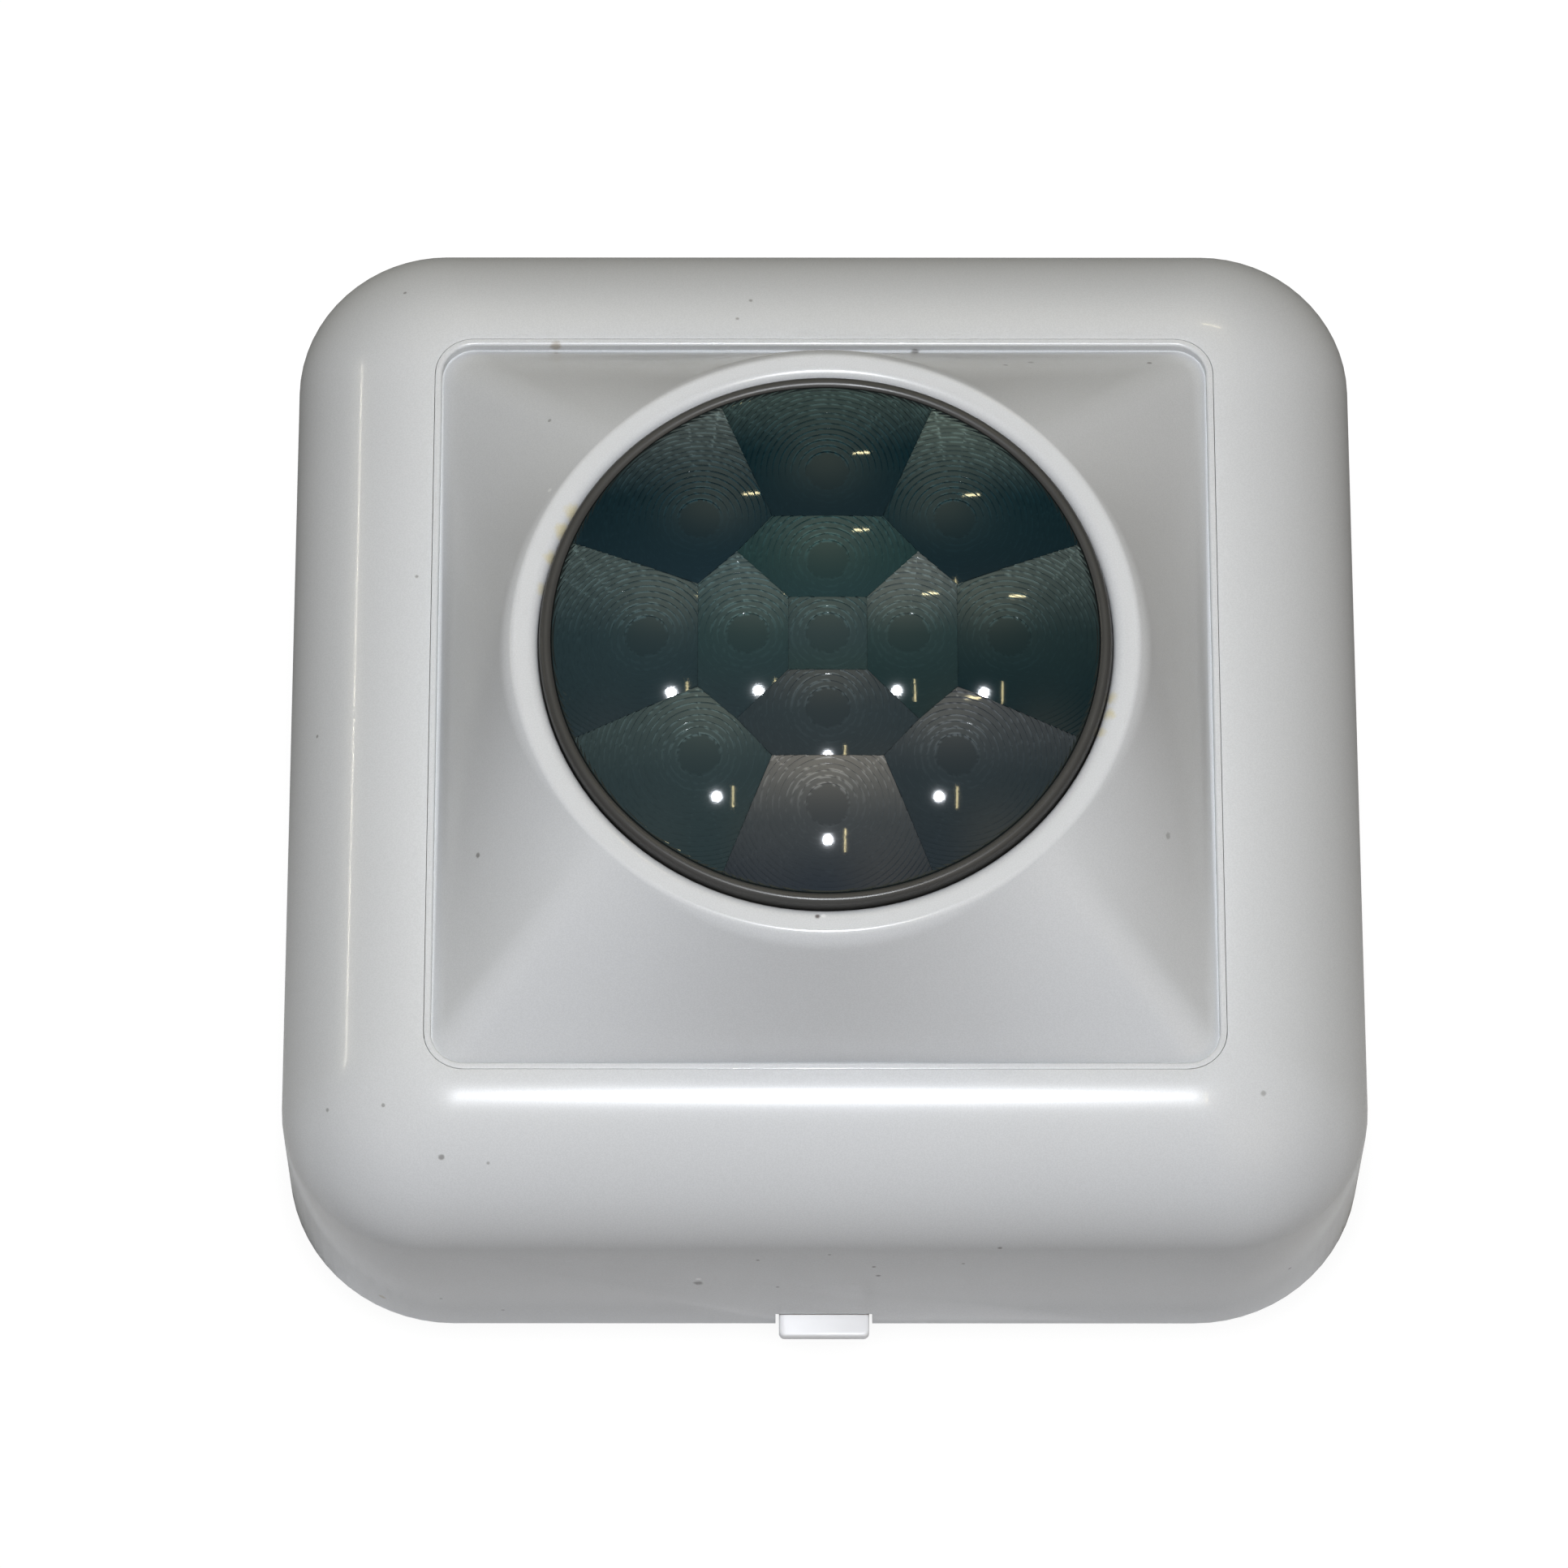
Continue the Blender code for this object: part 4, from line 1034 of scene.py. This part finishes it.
def build_spring():
    turns, per_turn, sides = 5, 28, 8
    wire_r, coil_r = 0.25, 2.1
    bottom, top = 19.35, 26.75
    count = turns * per_turn
    rings = []
    for i in range(count + 1):
        angle = 2 * math.pi * i / per_turn
        height = bottom + (top - bottom) * (i / count)
        ring = []
        for k in range(sides):
            around = 2 * math.pi * k / sides
            radius = coil_r + wire_r * math.cos(around)
            x = TAMPER_X + radius * math.cos(angle)
            y = TAMPER_Y + radius * math.sin(angle)
            ring.append((x, y, height + wire_r * math.sin(around)))
        rings.append(ring)
    body = Build()
    body.loft(rings, closed=False, cap=False)
    body.faces.append(tuple(range(sides)))
    body.faces.append(tuple(reversed(range(count * sides, (count + 1) * sides))))
    spring = body.make("tamper_spring_coil", [spring_mat], smooth=None)
    spring.data.shade_smooth()
    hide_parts("tamper_spring")
    # its place in metres, which nothing further uses
    x, y = TAMPER_X * MM, TAMPER_Y * MM
    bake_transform(spring)


# ---------------------------------------------------------------- copper, pads and small parts

# material slots
COPPER, PAD, SILK, CHIP, RESIST, MOULDED = range(6)

# heights over the board's face
SUNK, COPPER_TOP, SILK_TOP, PAD_TOP = -0.01, 0.035, 0.025, 0.05
SILK_WIDTH = 0.16

# long, wide, high
CAPACITOR_SIZE = (1.6, 0.8, 0.5)
RESISTOR_SIZE = (1.6, 0.8, 0.42)
LARGE_SIZE = (3.6, 1.7, 1.1)

# width, then the lines of points of that width
TRACKS = [
    (0.35, [
        [(-6.4, -23.2), (-6.4, -20.5), (-3.4, -17.5), (-1.2, -17.5), (-0.8, -16.8)],
        [(-7.7, -23.2), (-7.7, -18.0), (-5.0, -15.3), (-5.0, -7.5)],
        [(-9.0, -23.2), (-9.0, -14.0), (-8.0, -13.0), (-8.0, -4.0), (-7.0, -3.0)],
        [(-10.2, -23.2), (-10.2, -10.0), (-10.2, 2.0), (-7.4, 4.8)],
        [(-11.5, -23.2), (-11.5, -16.0), (-14.5, -13.0), (-14.5, -4.0)],
        [(-12.8, -23.2), (-12.8, -20.0), (-16.5, -16.3), (-16.5, -9.0)],
        [(-14.1, -23.2), (-14.1, -21.8), (-16.0, -20.0), (-20.2, -20.0)],
        [(-14.1, -29.8), (-14.1, -31.5), (-16.0, -33.4), (-26.0, -33.4)],
        [(-10.2, -29.8), (-10.2, -33.0), (-8.2, -35.0), (10.0, -35.0), (14.5, -30.5),
         (15.3, -30.5)],
        [(-8.9, -29.8), (-8.9, -32.0), (-7.0, -33.9), (8.0, -33.9), (13.2, -28.7), (15.3, -28.7)],
        [(-7.7, -29.8), (-7.7, -31.0), (-6.0, -32.7), (5.0, -32.7), (11.0, -26.7), (15.3, -26.7)],
        [(-6.4, -29.8), (-4.5, -31.6), (2.5, -31.6), (8.0, -26.1), (8.0, -20.0), (12.0, -16.0),
         (12.0, -6.0), (21.3, -6.0)],
        [(7.0, 5.0), (10.5, 5.0), (12.0, 6.5), (17.5, 6.5), (19.0, 5.0), (21.3, 5.0)],
        [(7.0, 0.0), (14.0, 0.0), (16.0, -2.0), (21.3, -2.6)],
    ]),
    (0.9, [
        [(-12.7, 20.0), (-12.7, 14.0), (-17.0, 9.7), (-17.0, 5.0), (-18.4, 5.0)],
        [(-7.6, 20.0), (-7.6, 13.0), (-15.4, 5.2), (-15.4, -2.0), (-18.4, -5.0)],
        [(-2.5, 20.0), (-2.5, 15.0), (-4.0, 13.5), (-4.0, 8.0)],
        [(2.5, 20.0), (2.5, 12.0), (6.7, 12.0), (6.7, 15.4)],
        [(7.6, 20.0), (7.6, 17.8), (8.0, 17.0)],
        [(12.7, 20.0), (12.7, 15.0), (14.2, 13.5), (17.5, 13.5), (17.5, 14.6)],
    ]),
    (0.6, [
        [(-26.0, 12.3), (-26.0, 10.4), (-24.0, 8.6)],
        [(29.0, -6.0), (32.0, -3.0), (32.0, 10.0), (24.0, 18.0), (21.0, 18.0)],
        [(29.0, 5.0), (30.4, 6.4), (30.4, 9.0), (22.0, 17.0), (21.0, 17.0)],
        [(24.7, -26.0), (30.0, -26.0), (32.6, -23.4), (32.6, -12.0), (29.0, -8.4)],
    ]),
]
VIAS = [
    (-20.2, -20.0), (-26.0, -33.4), (-16.5, -9.0), (-14.5, -4.0), (-4.0, 8.0), (-24.0, 8.6),
    (-5.0, -7.5), (29.5, -14.5), (14.0, 0.0), (10.0, -35.0), (5.0, -13.0), (-33.0, 5.0),
    (-33.0, -5.0), (33.2, 20.0), (0.0, 12.0),
]
# x, y, whether it lies along Y
CAPACITORS = [
    (-3.4, -22.6, True), (-1.4, -22.6, True), (0.6, -22.6, True), (4.4, -24.0, True),
    (-18.6, -30.0, False), (-18.6, -28.2, False), (10.0, -10.2, True), (14.2, -10.2, True),
    (14.2, -14.0, True), (16.2, -14.0, True), (-8.6, 9.6, True), (-1.0, 10.2, False),
    (18.4, 10.0, False), (26.5, -14.6, False), (26.5, -16.4, False), (12.4, -31.4, False),
]
RESISTORS = [
    (2.6, -22.6, True), (-12.6, -17.6, False), (-6.0, -11.4, True), (10.0, 2.6, True),
    (14.6, 3.2, False), (5.6, 9.2, False), (-13.0, 11.0, True), (23.5, 12.4, False),
    (27.6, 13.6, False), (30.2, -18.2, True), (-26.8, -18.6, False), (-29.6, -18.6, False),
    (3.6, -28.6, False),
]
TRANSISTORS = [(-13.0, -6.6), (9.4, -14.8), (24.6, 21.6)]
LARGE_CHIPS = [(-22.0, 11.2, False), (12.2, 9.6, False)]
# printed rectangles: low x, low y, high x, high y
RECTANGLES = [
    (-29.6, -12.6, -17.9, 8.6), (-15.9, 20.0, 15.9, 30.3), (21.1, -9.9, 28.9, -2.1),
    (21.1, 1.1, 28.9, 8.9), (15.1, -29.9, 24.9, -22.1), (-28.1, -30.1, -19.9, -21.9),
    (-7.1, -7.1, 7.1, 7.1),
]
# printed circles: x, y, radius
CIRCLES = [(17.5, 18.0, 3.6), (-26.0, 16.5, 4.5), (0.0, -15.0, 2.4)]
SCREW_PADS = [(-31.0, -33.0), (31.0, -33.0), (-31.0, 27.0), (31.0, 27.0)]


class BoardBuild(Build):
    """Adds shapes whose heights count from the board's upper face."""

    def turned(self, x, y, profile, steps, slot):
        self.turn([(radius, BOARD_Z + high) for radius, high in profile], steps, x, y, slot)

    def box(self, x, y, half, low, high, slot, edge):
        """A block centred on (x, y); half holds its half sizes in x and y."""
        self.block(
            (x - half[0], y - half[1], BOARD_Z + low),
            (x + half[0], y + half[1], BOARD_Z + high),
            slot,
            edge,
        )

    def ribbon(self, points, width, top, slot):
        """A flat track along a line of points, with round joints."""
        half = width / 2
        for (x0, y0), (x1, y1) in zip(points, points[1:]):
            size = math.hypot(x1 - x0, y1 - y0)
            x, y = -(y1 - y0) / size * half, (x1 - x0) / size * half
            plan = [(x0 - x, y0 - y), (x1 - x, y1 - y), (x1 + x, y1 + y), (x0 + x, y0 + y)]
            levels = BOARD_Z + SUNK, BOARD_Z + top
            self.loft([[(*corner, z) for corner in plan] for z in levels], closed=False, slot=slot)
        # the joints stay a little lower than the straight pieces
        joint = top - 0.002
        for x, y in points:
            self.turned(x, y, [(half, SUNK), (half, joint), (0.001, joint)], 12, slot)

    def pad(self, x, y, wide, deep):
        self.box(x, y, (wide / 2, deep / 2), SUNK, PAD_TOP, PAD, 0.02)

    def chip(self, x, y, along_y, slot, size):
        """A two-ended surface part on its pads."""
        long, wide, high = size
        end_cap = long * 0.12

        def plan(along, across):
            return (across, along) if along_y else (along, across)

        for end in (-1, 1):
            pad_x, pad_y = plan(end * long * 0.52, 0.0)
            self.pad(x + pad_x, y + pad_y, *plan(long * 0.5, wide * 1.1))
            cap_x, cap_y = plan(end * (long / 2 - end_cap), 0.0)
            half = plan(end_cap + 0.01, wide / 2 + 0.01)
            self.box(x + cap_x, y + cap_y, half, 0.04, high + 0.02, PAD, 0.04)
        self.box(x, y, plan(long / 2 - 0.05, wide / 2), 0.05, high, slot, 0.03)

    def transistor(self, x, y):
        for across, along in ((-0.95, -1.1), (0.95, -1.1), (0.0, 1.1)):
            self.pad(x + across, y + along, 0.8, 0.9)
            self.box(x + across, y + along, (0.2, 0.35), 0.04, 0.25, PAD, 0.03)
        self.box(x, y, (1.45, 0.65), 0.1, 1.0, MOULDED, 0.12)


def build_board_parts():
    body = BoardBuild()
    for width, lines in TRACKS:
        for line in lines:
            body.ribbon(line, width, COPPER_TOP, COPPER)
    via = [(0.5, SUNK), (0.5, PAD_TOP), (0.22, PAD_TOP), (0.22, -0.3)]
    for x, y in VIAS:
        body.turned(x, y, via, 16, PAD)
    # two rows of seven pads
    for i in range(7):
        for y in (-29.55, -23.55):
            body.pad(-14.06 + 1.27 * i, y, 0.62, 1.3)
    for place in CAPACITORS:
        body.chip(*place, CHIP, CAPACITOR_SIZE)
    for place in RESISTORS:
        body.chip(*place, RESIST, RESISTOR_SIZE)
    for place in TRANSISTORS:
        body.transistor(*place)
    for place in LARGE_CHIPS:
        body.chip(*place, MOULDED, LARGE_SIZE)
    for x0, y0, x1, y1 in RECTANGLES:
        corners = [(x0, y0), (x1, y0), (x1, y1), (x0, y1), (x0, y0)]
        body.ribbon(corners, SILK_WIDTH, SILK_TOP, SILK)
    for x, y, radius in CIRCLES:
        inner = radius - SILK_WIDTH
        line = [(radius, SUNK), (radius, SILK_TOP), (inner, SILK_TOP), (inner, SUNK)]
        body.turned(x, y, line, 48, SILK)
    screw_pad = [(2.9, SUNK), (2.9, PAD_TOP), (1.75, PAD_TOP), (1.7, -0.2)]
    for x, y in SCREW_PADS:
        body.turned(x, y, screw_pad, 40, PAD)
    mats = [trace_mat, tin_mat, silk_mat, chip_mat, black_mat, black_mat]
    parts = body.make("board_copper_and_chips", mats, smooth=40)
    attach(parts, "base")


# ---------------------------------------------------------------- CAD pieces shown as they are


def cad_looks():
    """Material and bevel width of each piece, by name."""
    pieces = {
        "base_plate": (base_mat, 0.18),
        "cable_grommet": (rubber_mat, 0.12),
        "pyro_holder": (black_mat, 0.0),
        "pyro_can": (can_mat, 0.0),
        "pyro_window": (filter_mat, 0.0),
        "walk_test_led": (led_mat, 0.0),
        "relay": (relay_mat, 0.0),
        "signal_ic": (black_mat, 0.04),
        "voltage_regulator": (black_mat, 0.08),
        "tamper_switch_body": (black_mat, 0.0),
        "tamper_plunger": (white_mat, 0.0),
        "dip_switch_body": (red_mat, 0.0),
        "terminal_block": (green_mat, 0.12),
        "lens_retaining_ring": (black_mat, 0.1),
        "pcb": (mask_mat, 0.0),
    }
    # numbered pieces: name, how many, look
    for name, count, look in (
        ("capacitor", 2, (sleeve_mat, 0.0)),
        ("bezel_screw", 4, (steel_mat, 0.0)),
        ("pcb_screw", 4, (steel_mat, 0.0)),
        ("terminal_screw", 6, (steel_mat, 0.06)),
        ("dip_slider", 3, (white_mat, 0.0)),
    ):
        for i in range(1, count + 1):
            pieces[f"{name}_{i}"] = look
    for name in ("sensitivity_trimmer", "timer_trimmer"):
        pieces[name + "_body"] = (blue_mat, 0.0)
        pieces[name + "_rotor"] = (white_mat, 0.05)
    return pieces


def dress_cad_pieces():
    pieces = cad_looks()
    for name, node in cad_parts.items():
        if name not in pieces:
            continue
        mat, bevel = pieces[name]
        node.data.materials.clear()
        node.data.materials.append(mat)
        if bevel:
            edges = node.modifiers.new("edges", "BEVEL")
            edges.width = bevel * MM
            edges.segments = 2
            edges.limit_method = "ANGLE"
            edges.angle_limit = math.radians(40)
            edges.harden_normals = True


# ---------------------------------------------------------------- floor

DARK_HALF = 46.5  # half of the square under the base where the floor doesn't glow
# grey of the floor's diffuse side along Y: start, end, grey at the start, grey at the end;
# it is brightest close in front of the housing, and darker behind it and further out: a painted pool
# of bounce light, seen only in the light and reflections the floor throws back onto the housing
PAINTED_BOUNCE_GREYS = [(-58.0, 20.0, 0.80, 0.30), (-72.0, -61.0, 0.38, 0.80)]


def floor_material():
    """Glows white to the camera, a little darker at contacts as a painted contact shadow, and is
    matte to everything else.
    """
    mat = bpy.data.materials.new("floor_white")
    mat.use_nodes = True
    nodes = Nodes(mat.node_tree)
    nodes.tree.nodes.clear()

    # painted contact shadow: the glow is dimmed where ambient occlusion finds the housing close by
    painted_contact_shadow = nodes.node("ShaderNodeAmbientOcclusion", {"Distance": 4.0 * MM}, samples=6)
    tone = nodes.ramp(painted_contact_shadow.outputs["AO"], 0.0, 1.0, to_low=0.90, to_high=1.03, kind="LINEAR")
    glow = nodes.node("ShaderNodeEmission", {"Strength": 1.0, "Color": tone})

    place = nodes.node("ShaderNodeTexCoord").outputs["Object"]
    axes = nodes.node("ShaderNodeSeparateXYZ", {0: place}).outputs
    outside = [
        nodes.math("GREATER_THAN", nodes.math("ABSOLUTE", axes[i]), DARK_HALF * MM) for i in (0, 1)
    ]
    seen = nodes.node("ShaderNodeLightPath").outputs["Is Camera Ray"]
    glowing = nodes.math("MULTIPLY", nodes.math("MAXIMUM", *outside), seen)

    # painted bounce light: the matte grey changes along Y
    painted_bounce_greys = [
        nodes.ramp(axes[1], start * MM, end * MM, first, last, kind="LINEAR")
        for start, end, first, last in PAINTED_BOUNCE_GREYS
    ]
    matte = nodes.node("ShaderNodeBsdfDiffuse", {"Color": nodes.math("MINIMUM", *painted_bounce_greys)})
    inputs = {"Fac": glowing, 1: matte.outputs[0], 2: glow.outputs[0]}
    mixed = nodes.node("ShaderNodeMixShader", inputs)
    nodes.node("ShaderNodeOutputMaterial", {"Surface": mixed.outputs[0]})
    return mat


def build_floor():
    bpy.ops.mesh.primitive_plane_add(size=3.0, location=(0.0, 0.0, 0.0))
    floor = bpy.context.object
    floor.name = "floor"
    floor.data.materials.append(floor_material())


# ---------------------------------------------------------------- light

# soft lobes of the surroundings: direction, how tight, strength, colour
LOBES = [
    ((0.0, -0.966, 0.259), 6.0, 0.55, (0.95, 1.0, 1.05)),
    ((0.5, -0.5, 0.707), 14.0, 0.69, (1.22, 1.0, 0.74)),
    ((-0.5, -0.5, 0.707), 14.0, 0.345, (1.06, 0.97, 0.96)),
    ((0.0, 0.707, 0.707), 14.0, 0.86, (1.12, 1.03, 0.76)),
    ((0.0, -0.574, 0.819), 40.0, 0.07, (0.2, 0.6, 1.6)),
]
AMBIENT = 0.015


def build_world():
    """Soft lobes that light the scene; the camera itself sees plain white."""
    world = bpy.data.worlds.new("surroundings")
    scene.world = world
    world.use_nodes = True
    nodes = Nodes(world.node_tree)
    nodes.tree.nodes.clear()
    coord = nodes.node("ShaderNodeTexCoord").outputs["Generated"]

    total = nodes.vector("SCALE", {0: (1.0, 1.0, 1.0), "Scale": AMBIENT}).outputs[0]
    for direction, tightness, strength, colour in LOBES:
        ends = {0: coord, 1: Vector(direction).normalized()}
        facing = nodes.vector("DOT_PRODUCT", ends).outputs["Value"]
        facing = nodes.math("MAXIMUM", facing, 0.0)
        facing = nodes.math("POWER", facing, tightness)
        amount = nodes.math("MULTIPLY", facing, strength)
        lobe = nodes.vector("SCALE", {0: colour, "Scale": amount}).outputs[0]
        total = nodes.vector("ADD", {0: total, 1: lobe}).outputs[0]

    lit = nodes.node("ShaderNodeBackground", {"Color": total})
    white = nodes.node("ShaderNodeBackground", {"Color": (1.02, 1.02, 1.02)})
    seen = nodes.node("ShaderNodeLightPath").outputs["Is Camera Ray"]
    inputs = {"Fac": seen, 1: lit.outputs[0], 2: white.outputs[0]}
    mixed = nodes.node("ShaderNodeMixShader", inputs)
    nodes.node("ShaderNodeOutputWorld", {"Surface": mixed.outputs[0]})


def lamp(name, direction, away, size, power, colour, length=None):
    """An area lamp that faces the lens: a strip if it has a length, otherwise a disk.

    direction points from the lens to the lamp; away, size and length are in millimetres.
    """
    light = bpy.data.lights.new(name, "AREA")
    light.shape = "RECTANGLE" if length else "DISK"
    light.size = size * MM
    if length:
        light.size_y = length * MM
    light.energy = power
    light.color = colour
    obj = bpy.data.objects.new(name, light)
    back = Vector(direction).normalized()
    side = Vector((0.0, 1.0, 0.0)).cross(back).normalized()
    axes = Matrix((side, back.cross(side), back)).transposed()
    obj.rotation_mode = "QUATERNION"
    obj.rotation_quaternion = axes.to_4x4().to_quaternion()
    obj.location = Vector((0.0, 0.0, 50.0 * MM)) + back * away * MM
    looks.objects.link(obj)


def toward(tilt_x, tilt_y):
    """A direction given by its tilts from straight up, in degrees, towards +X and +Y."""
    return (math.tan(math.radians(tilt_x)), math.tan(math.radians(tilt_y)), 1.0)


def build_lamps():
    lamp(
        "lamp_main", toward(0.4, -10.0),
        away=690.0, size=44.0, power=4.0, colour=(0.97, 1.0, 1.05),
    )
    lamp(
        "lamp_strip", toward(9.4, -9.4),
        away=1500.0, size=15.0, length=300.0, power=0.45, colour=(1.0, 0.86, 0.50),
    )
    lamp(
        "lamp_far", toward(22.0, 48.0),
        away=1500.0, size=190.0, length=26.0, power=0.55, colour=(1.0, 0.88, 0.55),
    )
    lamp(
        "lamp_side", (-0.885, 0.355, 0.31),
        away=1200.0, size=9.0, length=340.0, power=0.90, colour=(1.0, 0.95, 0.78),
    )


# ---------------------------------------------------------------- camera and render

CAMERA_TILT = math.radians(22.059)  # from straight down
CAMERA_ROLL, CAMERA_YAW = math.radians(-0.099), math.radians(0.084)
CAMERA_AWAY = 813.764
AIM_X, AIM_Y = -4.097, -9.462  # where it looks, at the level of the frame, before the yaw


def build_camera():
    camera = bpy.data.objects.new("camera", bpy.data.cameras.new("camera"))
    looks.objects.link(camera)
    back, rise = CAMERA_AWAY * math.sin(CAMERA_TILT), CAMERA_AWAY * math.cos(CAMERA_TILT)
    camera.matrix_world = (
        Matrix.Rotation(-CAMERA_YAW, 4, "Z")
        @ Matrix.Translation(Vector((AIM_X, AIM_Y - back, FRAME_Z + rise)) * MM)
        @ Matrix.Rotation(CAMERA_TILT, 4, "X")
        @ Matrix.Rotation(-CAMERA_ROLL, 4, "Z")
    )
    camera.data.sensor_width = 36.0
    camera.data.lens = 185.93
    camera.data.clip_start = 0.05
    camera.data.clip_end = 20.0
    scene.camera = camera


def set_render():
    scene.view_settings.view_transform = "Standard"
    scene.view_settings.look = "None"
    scene.view_settings.gamma = 1 / 1.2
    scene.cycles.use_denoising = True
    scene.cycles.max_bounces = 8
    scene.cycles.caustics_reflective = False
    scene.cycles.caustics_refractive = False


# ---------------------------------------------------------------- build

build_cover()
build_cover_fixings()
build_insert()
build_lens()
build_rim()
build_latch()
build_spring()
build_board_parts()
dress_cad_pieces()
build_floor()
build_world()
build_lamps()
build_camera()
set_render()
